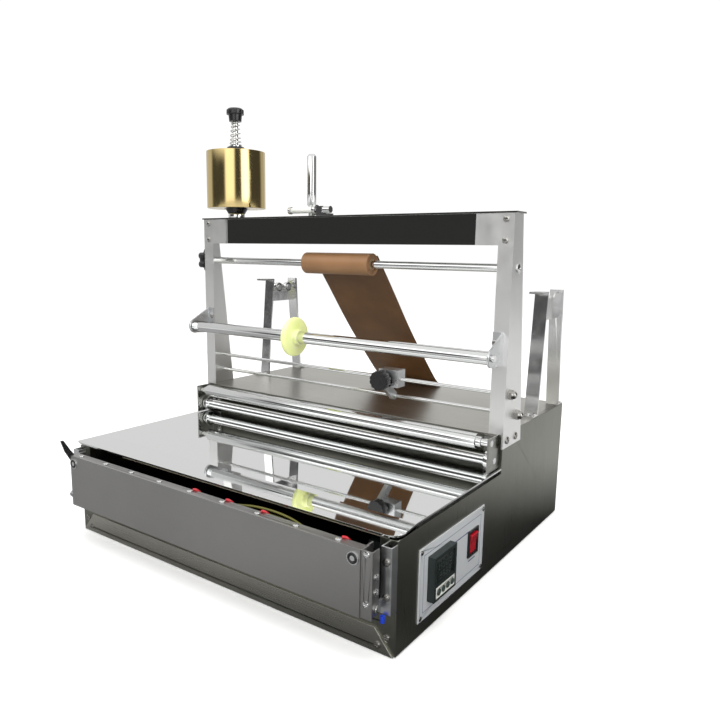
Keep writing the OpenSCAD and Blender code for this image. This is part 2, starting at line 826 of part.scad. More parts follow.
// Knob along Y with a grip of small flutes
module guide_block_knob() {
    color("Black") difference() {
        union() {
            rod_y(block_y[0] - 2, block_y[0] - 14, block_knob, 13);
            rod_y(block_y[0] - 0.4, block_y[0] - 2, block_knob, 8);
            rod_y(block_y[0] + 4, block_y[0] - 2, block_knob, 3);
        }
        for (a = [0 : 30 : 330]) translate([block_knob[0], 0, block_knob[1]]) rotate([0, a, 0])
            rod_y(block_y[0] - 1, block_y[0] - 15, [14.2, 0], 2.2);
    }
}

// ---- Tear-tape reel ---------------------------------------------------------

module at_spindle(z) {
    translate([tape_x, tape_y, z]) children();
}

module tape_spindle() {
    color("Silver") union() {
        at_spindle(cap_z) cylinder(h = collar_h, r = 12.5);
        at_spindle(frame_h - 5) cylinder(h = 6, r = 3);
        at_spindle(cap_z) cylinder(h = tape_knob_z + 14 - cap_z, r = spindle_r);
    }
}

// Two cones that hold the reel's core from below and from above
module tape_cones() {
    color("Black") difference() {
        union() {
            at_spindle(cone_z) cylinder(h = cone_h, r1 = 12.5, r2 = 17);
            at_spindle(cone_z + cone_h) cylinder(h = 4, r1 = core_r - 0.1, r2 = core_r - 3);
            at_spindle(reel_top) cylinder(h = cone_h, r1 = 17, r2 = 12);
            at_spindle(reel_top - 4) cylinder(h = 4, r1 = core_r - 3, r2 = core_r - 0.1);
        }
        at_spindle(cone_z - 1) cylinder(h = tape_h + 2 * cone_h + 2, r = spindle_r + run_fit);
    }
}

module tape_reel() {
    color("Gold") at_spindle(reel_z) difference() {
        cylinder(h = tape_h, r = tape_d / 2, $fn = 128);
        translate([0, 0, -1]) cylinder(h = tape_h + 2, r = core_r);
    }
}

// Conical coil spring on its washer
function spring_point(t) =
    let (turn = 360 * spring_turns * t, r = 8.4 - 3 * t)
    [tape_x + r * cos(turn), tape_y + r * sin(turn),
     spring_z + spring_wire_r + (spring_h - 2 * spring_wire_r) * t, spring_wire_r];

module tape_spring() {
    steps = spring_turns * 20;
    color("Silver") swept([for (i = [0 : steps]) spring_point(i / steps)], [0, 0, 1]);
    color("Silver") difference() {
        at_spindle(reel_top + cone_h + 0.3) cylinder(h = 1.2, r = 9.6);
        at_spindle(reel_top + cone_h) cylinder(h = 3, r = spindle_r + 0.2);
    }
}

module tape_knob() {
    color("Black") difference() {
        union() {
            at_spindle(tape_knob_z) cylinder(h = 10, r1 = 9, r2 = 10);
            at_spindle(tape_knob_z + 10) cylinder(h = 6, r = 12.8);
            at_spindle(tape_knob_z + 16) cylinder(h = 2.4, r1 = 12.8, r2 = 10);
        }
        at_spindle(tape_knob_z - 1) cylinder(h = 15.4, r = spindle_r + run_fit);
        for (a = [0 : 45 : 315]) at_spindle(tape_knob_z + 9) rotate(a)
            translate([14, 0, 0]) cylinder(h = 12, r = 2);
    }
}

// ---- Tape guide -------------------------------------------------------------

// Fixed bar with its collar and clamp block
module tape_guide_bar() {
    union() {
        rod_x(-82, -34, [guide_bar_y, guide_bar_z], 2.5);
        rod_x(-85.5, -82, [guide_bar_y, guide_bar_z], 5);
        rod_x(-42, -36, [guide_bar_y, guide_bar_z], 7);
        box([-34, guide_bar_y - 5, cap_z], [-24, guide_bar_y + 5, guide_bar_z + 5]);
        box([-24, guide_bar_y - 5, cap_z], [-12, guide_bar_y + 5, cap_z + 3]);
        rod_x(-24, -13, [guide_bar_y, guide_bar_z + 0.3], 4.7);
    }
}

module tape_guide_roller() {
    color("WhiteSmoke") difference() {
        rod_x(-81.5, -42.5, [guide_bar_y, guide_bar_z], 4);
        rod_x(-90, -30, [guide_bar_y, guide_bar_z], 2.5 + run_fit);
    }
}

// Upright post with a threaded foot through the crossbar's cap
module tape_guide_post() {
    translate([guide_post[0], guide_post[1], 0]) union() {
        translate([0, 0, frame_h - 5]) cylinder(h = cap_t + 6, r = 3);
        translate([0, 0, cap_z]) cylinder(h = 15, r = 4.5);
        translate([0, 0, cap_z + 15]) cylinder(h = 66, r = 6.4);
        translate([0, 0, cap_z + 81]) cylinder(h = 3.4, r1 = 6.4, r2 = 4);
    }
}

module tape_guide() {
    color("Gainsboro") {
        tape_guide_bar();
        tape_guide_post();
    }
}

// ---- Film-roll stands -------------------------------------------------------

// Two splayed legs of bent strip with feet, joined by a bridge plate with bearing pins
module roll_stand() {
    x0 = stand_in;
    x1 = stand_in + stand_strip_w;
    foot_f = stand_front_y - stand_splay;
    foot_r = stand_rear_y + stand_splay;
    difference() {
        union() {
            profile_x(x0, x1) polygon([
                [foot_f - 15, deck_h], [foot_f + stand_t, deck_h], [stand_front_y + stand_t, stand_h],
                [stand_front_y - 22, stand_h], [stand_front_y - 22, stand_h - stand_t],
                [stand_front_y - 0.2, stand_h - stand_t], [foot_f - 0.2, deck_h + stand_t],
                [foot_f - 15, deck_h + stand_t]
            ]);
            profile_x(x0, x1) polygon([
                [foot_r + 13.5, deck_h], [foot_r - stand_t, deck_h], [stand_rear_y - stand_t, stand_h],
                [stand_rear_y + 2, stand_h], [foot_r + 0.3, deck_h + stand_t],
                [foot_r + 13.5, deck_h + stand_t]
            ]);
            profile_x(x1 - 9, x1 - 7) polygon([
                [stand_front_y - 1, 292], [stand_rear_y + 1, 292], [stand_rear_y, 326],
                [stand_rear_y - 10, 326], [stand_rear_y - 16, 321], [stand_front_y + 16, 321],
                [stand_front_y + 10, 326], [stand_front_y, 326]
            ]);
            for (y = stand_bearing_ys) rod_x(x0 + 0.5, x1 - 8, [y, stand_bearing_z], stand_pin_r);
            for (y = stand_bearing_ys) rod_x(x0 + 0.5, x0 + 2, [y, stand_bearing_z], stand_pin_r + 2);
        }
        holes_at(STAND_SCREWS, 2.1, 8);
    }
}

module stand_bearing(y) {
    difference() {
        rod_x(stand_in + 2.3, stand_in + stand_strip_w - 9.3, [y, stand_bearing_z], stand_bearing_r);
        rod_x(stand_in, stand_in + stand_strip_w, [y, stand_bearing_z], stand_pin_r + run_fit);
    }
}

module left_roll_stand() {
    color("Gainsboro") mirror([1, 0, 0]) roll_stand();
}

module right_roll_stand() {
    color("Gainsboro") roll_stand();
}

module bearing_left_front() {
    color("Silver") mirror([1, 0, 0]) stand_bearing(stand_bearing_ys[0]);
}

module bearing_left_rear() {
    color("Silver") mirror([1, 0, 0]) stand_bearing(stand_bearing_ys[1]);
}

module bearing_right_front() {
    color("Silver") stand_bearing(stand_bearing_ys[0]);
}

module bearing_right_rear() {
    color("Silver") stand_bearing(stand_bearing_ys[1]);
}

// ---- Front flap and its hinge -----------------------------------------------

// Upright channel on the casing's front corner, with an ear that holds the hinge pin
module hinge_bracket() {
    difference() {
        union() {
            box([hinge_x[0], hinge_y, hinge_z[0]], [hinge_x[1], 0, hinge_z[1]]);
            profile_x(hinge_x[0] - hinge_wall, hinge_x[0]) union() {
                translate([pivot_y, pivot_z]) circle(ear_r);
                translate([pivot_y, pivot_z - ear_r]) square([-pivot_y, 2 * ear_r]);
            }
        }
        box([hinge_x[0] + hinge_wall, hinge_y + hinge_wall, hinge_z[0] - 1],
            [hinge_x[1] - hinge_wall, 1, hinge_z[1] + 1]);
        rod_x(hinge_x[0] - hinge_wall - 1, hinge_x[0] + 1, [pivot_y, pivot_z], pin_r + 0.02);
        holes_at(HINGE_SCREWS, 2.1, 4);
    }
}

module hinge_brackets() {
    color("Silver") for (s = [0, 1]) mirror([s, 0, 0]) hinge_bracket();
}

module hinge_pins() {
    color("Gray") for (s = SIDES) {
        rod_x(s * (flap_half - 5), s * hinge_pin_head_x, [pivot_y, pivot_z], pin_r);
        rod_x(s * hinge_pin_head_x, s * (hinge_pin_head_x + 2), [pivot_y, pivot_z], hinge_pin_head_r);
    }
}

function flap_screw_x(i) = flap_screw_shift + (i - (flap_screw_count - 1) / 2) * flap_pitch;

// Folded shell, open at the back and behind its top lip, with a channel welded to its right end
module flap_shell() {
    color("DarkGray") difference() {
        union() {
            difference() {
                box([-flap_half, flap_front, flap_z], [flap_half, flap_back, flap_top]);
                box([sheet - flap_half, flap_front + sheet, flap_z + sheet],
                    [flap_half - sheet, flap_back + 1, flap_top - sheet]);
                box([sheet - flap_half, flap_front + flap_lip_d, flap_top - sheet - 1],
                    [flap_half - sheet, flap_back + 1, flap_top + 1]);
            }
            difference() {
                box([flap_half, end_channel_y[0], flap_z], [end_channel_x, end_channel_y[1], flap_top]);
                box([flap_half + sheet, end_channel_y[0] + sheet, flap_z - 1],
                    [end_channel_x - sheet, end_channel_y[1] + 1, flap_top + 1]);
                box([end_channel_x - sheet - 1, end_channel_y[0] + sheet, flap_z - 1],
                    [end_channel_x + 1, end_channel_y[1] + 1, pivot_z - 6]);
            }
        }
        for (i = [0 : flap_screw_count - 1])
            translate([flap_screw_x(i), flap_screw_y, flap_top - 3]) cylinder(h = 4, r = 1.8);
        rod_x(-flap_half - 1, end_channel_x + 1, [pivot_y, pivot_z], pin_r + run_fit);
        rod_x(-flap_half - 1, -flap_half + 3, handle_at, 2.5 + run_fit);
        holes_at(FLAP_END_SCREWS, 2.1, 3);
    }
}

// Heating bar against the flap's front face, its rib hung on the nine top screws
module flap_heater() {
    color("Silver") difference() {
        union() {
            box([-flap_heater_half, flap_front + sheet, flap_z + 20],
                [flap_heater_half, flap_front + 15, flap_top - 16]);
            box([-flap_heater_half, flap_front + sheet, flap_z + 20],
                [flap_heater_half, flap_front + flap_lip_d - 2, flap_top - sheet]);
        }
        rod_x(-flap_heater_half - 1, flap_heater_half + 1, [flap_front + 8.3, flap_z + 34], heater_r);
        for (i = [0 : flap_screw_count - 1])
            translate([flap_screw_x(i), flap_screw_y, flap_top - 10]) cylinder(h = 10, r = 1.7);
    }
}

// Dished washer with a recess for its screw, on the flap's front face
module flap_stud(x) {
    difference() {
        rod_y(flap_front, flap_front - 1.2, [x, stud_z], stud_r);
        rod_y(flap_front - 0.5, flap_front - 2, [x, stud_z], stud_r - 0.8);
    }
    rod_y(flap_front - 0.2, flap_front - 1.4, [x, stud_z], 2.6);
}

module flap_screws() {
    color("Silver") {
        for (i = [0 : flap_screw_count - 1])
            translate([flap_screw_x(i), flap_screw_y, flap_top]) screw(3.4, 1.6, 8);
        screws_at(FLAP_END_SCREWS, 3.4, 1.9, 2.5);
        for (s = SIDES) flap_stud(s * stud_x);
    }
}

// Finger tab riveted outside the flap's left end
module flap_handle() {
    y = handle_at[0];
    z = handle_at[1];
    color("Black") union() {
        profile_x(-flap_half - handle_t, -flap_half) union() {
            translate(handle_at) circle(6);
            polygon([[y - 6, z], [y + 6, z], [y - 8, z + 18], [y - 17, z + 33], [y - handle_reach, z + 33],
                     [y - 16, z + 18]]);
        }
        rod_x(-flap_half, -flap_half + 2.5, handle_at, 2.5);
        rod_x(-flap_half - handle_t - 0.6, -flap_half - handle_t, handle_at, 4);
    }
}

// ---- Fasteners --------------------------------------------------------------

module fasteners() {
    color("Silver") {
        screws_at(CASING_SCREWS, 3.8, 1.9, 5);
        screws_at(HINGE_SCREWS, 3.8, 1.9, 13);
        screws_at(PANEL_SCREWS, 2.6, 1.4, 4);
        screws_at(HEAD_SCREWS, 3.8, 1.9, 5);
        screws_at(FOOT_SCREWS, 4.6, 1.9, 5);
        screws_at(EAR_SCREWS, 3.8, 1.9, 5);
        screws_at(STAND_SCREWS, 3.6, 1.9, 6);
        screws_at(ROLLER_SCREWS, 3.4, 1.9, 3);
        for (p = ROD_NUTS) translate(p[0]) facing(p[1]) cap_nut(nut_r, guide_rod_d / 2 + 0.02);
    }
}

placed() left_side();
placed() right_side();
placed() rear_panel();
placed() rear_deck();
placed() bottom_pan();
placed() kick_plate();
placed() rubber_feet();
placed() top_plate();
placed() hot_plate();
placed() cartridge_heaters();
placed() insulation_board();
placed() temperature_probe();
placed() control_panel();
placed() controller_case();
placed() rocker_bezel();
placed() solid_state_relay();
placed() terminal_block();
placed() power_inlet();
placed() internal_wiring();
placed() left_upright();
placed() right_upright();
placed() crossbar();
placed() upper_rod();
placed() cloth_strip();
placed() idler_brackets();
placed() roller_brackets();
placed() guide_rods();
placed() tape_spindle();
placed() tape_guide();
placed() left_roll_stand();
placed() right_roll_stand();
placed() hinge_brackets();
placed() hinge_pins();
placed() fasteners();
placed() flap_shell();
placed() flap_heater();
placed() flap_screws();
placed() flap_handle();
placed() rocker_button();
placed() set_button();
placed() shift_button();
placed() down_button();
placed() up_button();
placed() upper_roller();
placed() lower_roller();
placed() cloth_roll();
placed() star_knob();
placed() idler_tube();
placed() guide_wheel();
placed() guide_block();
placed() guide_block_knob();
placed() tape_reel();
placed() tape_cones();
placed() tape_spring();
placed() tape_knob();
placed() tape_guide_roller();
placed() bearing_left_front();
placed() bearing_left_rear();
placed() bearing_right_front();
placed() bearing_right_rear();
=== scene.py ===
"""Looks of a bench-top film overwrapping machine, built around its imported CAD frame."""

import math

import bmesh
import bpy
from mathutils import Matrix, Vector, noise


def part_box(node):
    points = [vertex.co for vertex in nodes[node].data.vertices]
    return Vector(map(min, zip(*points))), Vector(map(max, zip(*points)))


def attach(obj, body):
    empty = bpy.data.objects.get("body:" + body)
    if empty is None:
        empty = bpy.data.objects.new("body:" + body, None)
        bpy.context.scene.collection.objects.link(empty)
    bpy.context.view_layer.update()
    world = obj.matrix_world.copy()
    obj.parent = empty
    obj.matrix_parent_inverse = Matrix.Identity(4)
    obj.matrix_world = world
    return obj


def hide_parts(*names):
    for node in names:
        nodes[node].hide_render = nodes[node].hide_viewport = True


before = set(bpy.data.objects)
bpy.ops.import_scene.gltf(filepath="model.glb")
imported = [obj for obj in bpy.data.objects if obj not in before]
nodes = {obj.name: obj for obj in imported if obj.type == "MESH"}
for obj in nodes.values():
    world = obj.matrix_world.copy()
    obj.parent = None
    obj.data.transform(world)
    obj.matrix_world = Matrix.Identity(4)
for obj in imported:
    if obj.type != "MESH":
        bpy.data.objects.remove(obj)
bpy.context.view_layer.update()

MM = 0.001


# ---- Camera -----------------------------------------------------------------

CAMERA_PLACE = (0.5471, -0.7046, 0.3815)
CAMERA_AZIMUTH = 35.53
CAMERA_ELEVATION = 9.96
CAMERA_ROLL = 0.73
CAMERA_LENS = 33.19
CAMERA_SENSOR = 36
CAMERA_SHIFT = (0.0178, 0.0091)


def make_camera():
    """Camera at the height and angle from which the machine is seen from its right front."""
    azimuth, elevation, roll = map(math.radians, (CAMERA_AZIMUTH, CAMERA_ELEVATION, CAMERA_ROLL))
    back = Vector((math.sin(azimuth) * math.cos(elevation),
                   -math.cos(azimuth) * math.cos(elevation),
                   math.sin(elevation)))
    right = Vector((0, 0, 1)).cross(back).normalized()
    up = back.cross(right)
    right_rolled = right * math.cos(roll) + up * math.sin(roll)
    up_rolled = up * math.cos(roll) - right * math.sin(roll)
    data = bpy.data.cameras.new("camera")
    data.lens = CAMERA_LENS
    data.sensor_width = CAMERA_SENSOR
    data.shift_x, data.shift_y = CAMERA_SHIFT
    camera = bpy.data.objects.new("camera", data)
    turn = Matrix((right_rolled, up_rolled, back)).transposed().to_4x4()
    camera.matrix_world = Matrix.Translation(CAMERA_PLACE) @ turn
    bpy.context.scene.collection.objects.link(camera)
    bpy.context.scene.camera = camera


# ---- Node helpers -----------------------------------------------------------

def add_node(tree, kind, **settings):
    """A node with its properties and, under names that match sockets, its input values."""
    node = tree.nodes.new(kind)
    for key, value in settings.items():
        if hasattr(node, key):
            setattr(node, key, value)
        else:
            node.inputs[key.replace("_", " ")].default_value = value
    return node


def new_material(name, colour, metallic, roughness, **sockets):
    """Material with one Principled shader; sockets are its other constant inputs."""
    material = bpy.data.materials.new(name)
    material.use_nodes = True
    shader = material.node_tree.nodes["Principled BSDF"]
    shader.inputs["Base Color"].default_value = (*colour, 1)
    shader.inputs["Metallic"].default_value = metallic
    shader.inputs["Roughness"].default_value = roughness
    for key, value in sockets.items():
        shader.inputs[key.replace("_", " ")].default_value = value
    return material


NOISE_ROUGHNESS = 0.55


def noise_of(material, scale, detail):
    """Factor of a noise in object metres; scale is turns per metre along X, Y and Z."""
    tree = material.node_tree
    place = add_node(tree, "ShaderNodeTexCoord")
    mapping = add_node(tree, "ShaderNodeMapping", vector_type="POINT")
    mapping.inputs["Scale"].default_value = scale
    texture = add_node(tree, "ShaderNodeTexNoise", Scale=1.0, Detail=detail,
                       Roughness=NOISE_ROUGHNESS)
    tree.links.new(place.outputs["Object"], mapping.inputs["Vector"])
    tree.links.new(mapping.outputs["Vector"], texture.inputs["Vector"])
    return texture.outputs["Fac"]


def ranged(material, factor, low, high, start=0.25, end=0.75):
    """Factor mapped from start..end to low..high."""
    node = add_node(material.node_tree, "ShaderNodeMapRange")
    node.inputs["From Min"].default_value = start
    node.inputs["From Max"].default_value = end
    node.inputs["To Min"].default_value = low
    node.inputs["To Max"].default_value = high
    material.node_tree.links.new(factor, node.inputs["Value"])
    return node.outputs["Result"]


def combined(tree, operation, first, second=None):
    """Result of a math node fed by one or two factors."""
    node = add_node(tree, "ShaderNodeMath", operation=operation)
    tree.links.new(first, node.inputs[0])
    if second is not None:
        tree.links.new(second, node.inputs[1])
    return node.outputs["Value"]


def vary_roughness(material, scale, low, high, detail=3.0):
    """Roughness that drifts between two values."""
    shader = material.node_tree.nodes["Principled BSDF"]
    value = ranged(material, noise_of(material, scale, detail), low, high)
    material.node_tree.links.new(value, shader.inputs["Roughness"])


def mix_base_colour(material, factor, first, second=None):
    """Base colour that goes from the first to the second, or to what it was, as the factor rises."""
    tree = material.node_tree
    base = tree.nodes["Principled BSDF"].inputs["Base Color"]
    mix = add_node(tree, "ShaderNodeMix", data_type="RGBA")
    colours = [socket for socket in mix.inputs if socket.type == "RGBA"]
    colours[0].default_value = (*first, 1)
    if second is None:
        tree.links.new(base.links[0].from_socket, colours[1])
    else:
        colours[1].default_value = (*second, 1)
    tree.links.new(factor, mix.inputs[0])
    output = next(socket for socket in mix.outputs if socket.type == "RGBA")
    tree.links.new(output, base)


def vary_colour(material, scale, dark, light, detail=3.0):
    """Base colour that drifts between two colours."""
    factor = ranged(material, noise_of(material, scale, detail), 0, 1, start=0.3, end=0.7)
    mix_base_colour(material, factor, dark, light)


def add_bump(material, factor, strength, distance):
    """Bump from a factor; a second call is laid over the first."""
    tree = material.node_tree
    shader = tree.nodes["Principled BSDF"]
    bump = add_node(tree, "ShaderNodeBump", Strength=strength, Distance=distance)
    tree.links.new(factor, bump.inputs["Height"])
    if shader.inputs["Normal"].is_linked:
        tree.links.new(shader.inputs["Normal"].links[0].from_socket, bump.inputs["Normal"])
    tree.links.new(bump.outputs["Normal"], shader.inputs["Normal"])


# ---- Materials --------------------------------------------------------------

# Noise turns per metre along a brushed streak and across it, of its slow drift and of its waviness
STREAK_ALONG = 6
STREAK_ACROSS = 900
STEEL_DRIFT = (5, 5, 5)
STEEL_WAVE = (14, 14, 14)


def brushed_steel(name, dark, light, roughness, along):
    """Sheet steel brushed along one axis: fine streaks in roughness and bump, slow drift in colour."""
    material = new_material(name, light, 1.0, roughness[0])
    streak = [STREAK_ACROSS] * 3
    streak["XYZ".index(along)] = STREAK_ALONG
    vary_colour(material, STEEL_DRIFT, dark, light, detail=4)
    vary_roughness(material, streak, *roughness)
    add_bump(material, noise_of(material, streak, 2), strength=0.035, distance=0.0002)
    add_bump(material, noise_of(material, STEEL_WAVE, 2), strength=0.10, distance=0.0006)
    return material


def deck_steel(name, dark, light, roughness, riser_painted_shade):
    """Brushed deck whose upright riser, below the deck's top, is painted darker, as painted shade from
    the rollers in front of it.
    """
    material = brushed_steel(name, dark, light, roughness, "X")
    tree = material.node_tree
    place = add_node(tree, "ShaderNodeTexCoord")
    split = add_node(tree, "ShaderNodeSeparateXYZ")
    tree.links.new(place.outputs["Object"], split.inputs["Vector"])
    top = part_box("rear_deck")[1].z
    above_riser = ranged(material, split.outputs["Z"], 0, 1, top - 3 * MM, top - 2 * MM)
    # Below the deck's top the base colour turns to the riser's painted shade.
    mix_base_colour(material, above_riser, riser_painted_shade)
    return material


def satin_metal(name, colour, roughness):
    """Lightly worn metal with small handling marks."""
    material = new_material(name, colour, 1.0, roughness[0])
    vary_roughness(material, (60, 60, 60), *roughness)
    add_bump(material, noise_of(material, (700, 700, 700), 2), strength=0.05, distance=0.0001)
    return material


def polished_metal(name, colour, roughness, waviness):
    """Polished metal whose reflections wander a little, with faint smears."""
    material = new_material(name, colour, 1.0, roughness[0])
    vary_roughness(material, (45, 45, 45), *roughness, detail=5)
    add_bump(material, noise_of(material, (20, 20, 20), 1), strength=waviness, distance=0.0005)
    return material


def moulded_plastic(name, colour, roughness, **sockets):
    """Plastic with the fine grain of a mould and a slight drift in gloss."""
    material = new_material(name, colour, 0.0, roughness, **sockets)
    vary_roughness(material, (150, 150, 150), roughness * 0.85, roughness * 1.2)
    add_bump(material, noise_of(material, (1800, 1800, 1800), 2), strength=0.12, distance=0.0001)
    return material


THREADS = 420.0  # weave waves per metre of cloth


def coated_cloth(name, dark, light):
    """Woven glass cloth under a smooth brown coating."""
    material = new_material(name, light, 0.0, 0.45, Coat_Weight=0.12, Coat_Roughness=0.3)
    tree = material.node_tree
    vary_colour(material, (22, 22, 22), dark, light, detail=5)
    place = add_node(tree, "ShaderNodeTexCoord")
    threads = []
    for direction in ("X", "Z"):
        wave = add_node(tree, "ShaderNodeTexWave", wave_type="BANDS", bands_direction=direction,
                        Scale=THREADS, Distortion=0.6, Detail=1.0)
        tree.links.new(place.outputs["Object"], wave.inputs["Vector"])
        threads.append(wave.outputs["Fac"])
    add_bump(material, combined(tree, "MAXIMUM", *threads), strength=0.25, distance=0.0001)
    return material


def gold_film():
    """Metallised gold tape; the wound edges make upright ripples in its shine."""
    material = new_material("gold_film", (0.64, 0.50, 0.23), 1.0, 0.12)
    vary_roughness(material, (90, 90, 14), 0.09, 0.16)
    add_bump(material, noise_of(material, (55, 55, 3), 2), strength=0.22, distance=0.0008)
    add_bump(material, noise_of(material, (20, 20, 900), 2), strength=0.03, distance=0.0001)
    return material


def wheel_nylon():
    """Pale yellow-green wheel that light passes into."""
    material = new_material("wheel_nylon", (0.86, 0.93, 0.42), 0.0, 0.35,
                            Subsurface_Weight=0.6, Subsurface_Scale=0.01)
    material.node_tree.nodes["Principled BSDF"].inputs["Subsurface Radius"].default_value = (1, 1, 0.4)
    vary_colour(material, (60, 60, 60), (0.80, 0.88, 0.36), (0.90, 0.95, 0.50))
    add_bump(material, noise_of(material, (400, 400, 400), 2), strength=0.08, distance=0.0002)
    return material


MATERIALS = {
    "casing": brushed_steel("casing", (0.22, 0.22, 0.192), (0.275, 0.275, 0.24), (0.26, 0.36), "Z"),
    "kick": brushed_steel("kick", (0.46, 0.45, 0.40), (0.56, 0.55, 0.50), (0.24, 0.36), "X"),
    "flap": brushed_steel("flap", (0.36, 0.355, 0.35), (0.41, 0.405, 0.40), (0.30, 0.40), "X"),
    # The deck's last colour is the painted shade of its riser, under the rollers.
    "deck": deck_steel("deck", (0.44, 0.43, 0.39), (0.56, 0.55, 0.51), (0.26, 0.36),
                       (0.15, 0.15, 0.13)),
    "frame": satin_metal("frame", (0.92, 0.92, 0.91), (0.34, 0.44)),
    "bracket": satin_metal("bracket", (0.34, 0.34, 0.32), (0.24, 0.34)),
    "mirror": polished_metal("mirror", (0.88, 0.89, 0.89), (0.015, 0.05), 0.02),
    "crossbar": polished_metal("crossbar", (0.32, 0.33, 0.31), (0.04, 0.10), 0.02),
    "chrome": polished_metal("chrome", (0.74, 0.75, 0.745), (0.05, 0.12), 0.03),
    "aluminium": satin_metal("aluminium", (0.70, 0.71, 0.72), (0.24, 0.38)),
    "bright_strip": satin_metal("bright_strip", (0.80, 0.80, 0.80), (0.12, 0.24)),
    "screw": satin_metal("screw", (0.42, 0.41, 0.39), (0.14, 0.26)),
    "brass": satin_metal("brass", (0.62, 0.48, 0.22), (0.25, 0.4)),
    "board": moulded_plastic("board", (0.55, 0.50, 0.38), 0.8),
    "panel": moulded_plastic("panel", (0.66, 0.68, 0.70), 0.38, Metallic=0.15),
    "controller": moulded_plastic("controller", (0.014, 0.022, 0.020), 0.32),
    "black_plastic": moulded_plastic("black_plastic", (0.012, 0.012, 0.013), 0.28),
    "red_plastic": moulded_plastic("red_plastic", (0.46, 0.008, 0.02), 0.22, Coat_Weight=0.4),
    "key_plastic": moulded_plastic("key_plastic", (0.05, 0.07, 0.06), 0.4),
    "white_plastic": moulded_plastic("white_plastic", (0.78, 0.79, 0.74), 0.4),
    "yellow_wire": moulded_plastic("yellow_wire", (0.13, 0.125, 0.025), 0.4),
    "dark_wire": moulded_plastic("dark_wire", (0.03, 0.03, 0.03), 0.4),
    "blue_sleeve": moulded_plastic("blue_sleeve", (0.01, 0.05, 0.55), 0.35),
    # The strip and the roll are one cloth: the roll's paler colours are painted light from above, the
    # strip's darker colours painted shade.
    "cloth": coated_cloth("cloth", (0.115, 0.053, 0.018), (0.165, 0.076, 0.026)),
    "cloth_roll": coated_cloth("cloth_roll", (0.27, 0.14, 0.062), (0.34, 0.178, 0.08)),
    "card": moulded_plastic("card", (0.35, 0.24, 0.14), 0.8),
    "gold_film": gold_film(),
    "wheel_nylon": wheel_nylon(),
    "rubber": moulded_plastic("rubber", (0.02, 0.02, 0.02), 0.75),
    "glass": new_material("glass", (0.006, 0.012, 0.010), 0.0, 0.08, Coat_Weight=1.0),
    "segments": new_material("segments", (0.035, 0.05, 0.045), 0.0, 0.3),
    "print": new_material("print", (0.10, 0.13, 0.22), 0.0, 0.5),
}

# Material of each CAD node that stays in view, and the radius of its softened edges in millimetres
CAD_FINISH = {
    "casing": (0.4, ["left_side", "right_side", "rear_panel", "bottom_pan"]),
    "kick": (0.3, ["kick_plate"]),
    "flap": (0.5, ["flap_shell"]),
    "deck": (0.4, ["rear_deck"]),
    "frame": (0, ["left_upright", "right_upright"]),
    "bracket": (0.3, ["roller_brackets"]),
    "mirror": (0.3, ["top_plate"]),
    "crossbar": (0.3, ["crossbar"]),
    "chrome": (0.25, ["upper_rod", "guide_rods", "upper_roller", "lower_roller", "idler_tube",
                      "tape_spindle", "tape_guide", "bearing_left_front", "bearing_left_rear",
                      "bearing_right_front", "bearing_right_rear", "hinge_pins"]),
    "aluminium": (0.3, ["hot_plate", "flap_heater", "hinge_brackets", "idler_brackets",
                        "guide_block", "temperature_probe"]),
    "bright_strip": (0.3, ["left_roll_stand", "right_roll_stand"]),
    "brass": (0.2, ["cartridge_heaters"]),
    "board": (0.3, ["insulation_board"]),
    "panel": (0.25, ["control_panel"]),
    "controller": (0.8, ["controller_case"]),
    "black_plastic": (0.4, ["rocker_bezel", "star_knob", "guide_block_knob", "tape_cones",
                            "tape_knob", "flap_handle", "power_inlet"]),
    "red_plastic": (0.6, ["rocker_button"]),
    "key_plastic": (0.3, ["set_button", "shift_button", "down_button", "up_button"]),
    "white_plastic": (0.4, ["solid_state_relay", "terminal_block", "tape_guide_roller"]),
    "rubber": (0.4, ["rubber_feet"]),
}
SCREW_EDGE = 0.08
WELD_REACH = 2e-6
SOFTENED_ABOVE = math.radians(38)


def finish_cad_node(name, material, edge):
    """Gives a CAD node its material and, unless edge is 0, softly rounded edges."""
    piece = nodes[name]
    if not piece.material_slots:
        piece.data.materials.append(MATERIALS[material])
    for material_slot in piece.material_slots:
        material_slot.material = MATERIALS[material]
    if not edge:
        return
    weld = piece.modifiers.new("weld", "WELD")
    weld.merge_threshold = WELD_REACH
    bevel = piece.modifiers.new("edges", "BEVEL")
    bevel.width = edge * MM
    bevel.segments = 2
    bevel.limit_method = "ANGLE"
    bevel.angle_limit = SOFTENED_ABOVE
    bevel.harden_normals = True


def finish_cad_nodes():
    """Materials and edges of every CAD node that stays in view."""
    for material, (edge, names) in CAD_FINISH.items():
        for name in names:
            finish_cad_node(name, material, edge)
    finish_cad_node("fasteners", "screw", SCREW_EDGE)
    finish_cad_node("flap_screws", "chrome", SCREW_EDGE)


# ---- Mesh helpers -----------------------------------------------------------

def mesh_object(name, points, faces, material, smooth=True):
    """Piece made of points and faces, its faces turned outwards."""
    mesh = bpy.data.meshes.new(name)
    mesh.from_pydata([tuple(p) for p in points], [], faces)
    mesh.validate()
    check = bmesh.new()
    check.from_mesh(mesh)
    bmesh.ops.recalc_face_normals(check, faces=check.faces)
    check.to_mesh(mesh)
    check.free()
    mesh.polygons.foreach_set("use_smooth", [smooth] * len(mesh.polygons))
    mesh.materials.append(MATERIALS[material])
    piece = bpy.data.objects.new(name, mesh)
    bpy.context.scene.collection.objects.link(piece)
    return piece


def sharpen(piece, degrees=32):
    """Keeps edges that turn by more than this crisp under smooth shading."""
    piece.data.set_sharp_from_angle(angle=math.radians(degrees))
    return piece


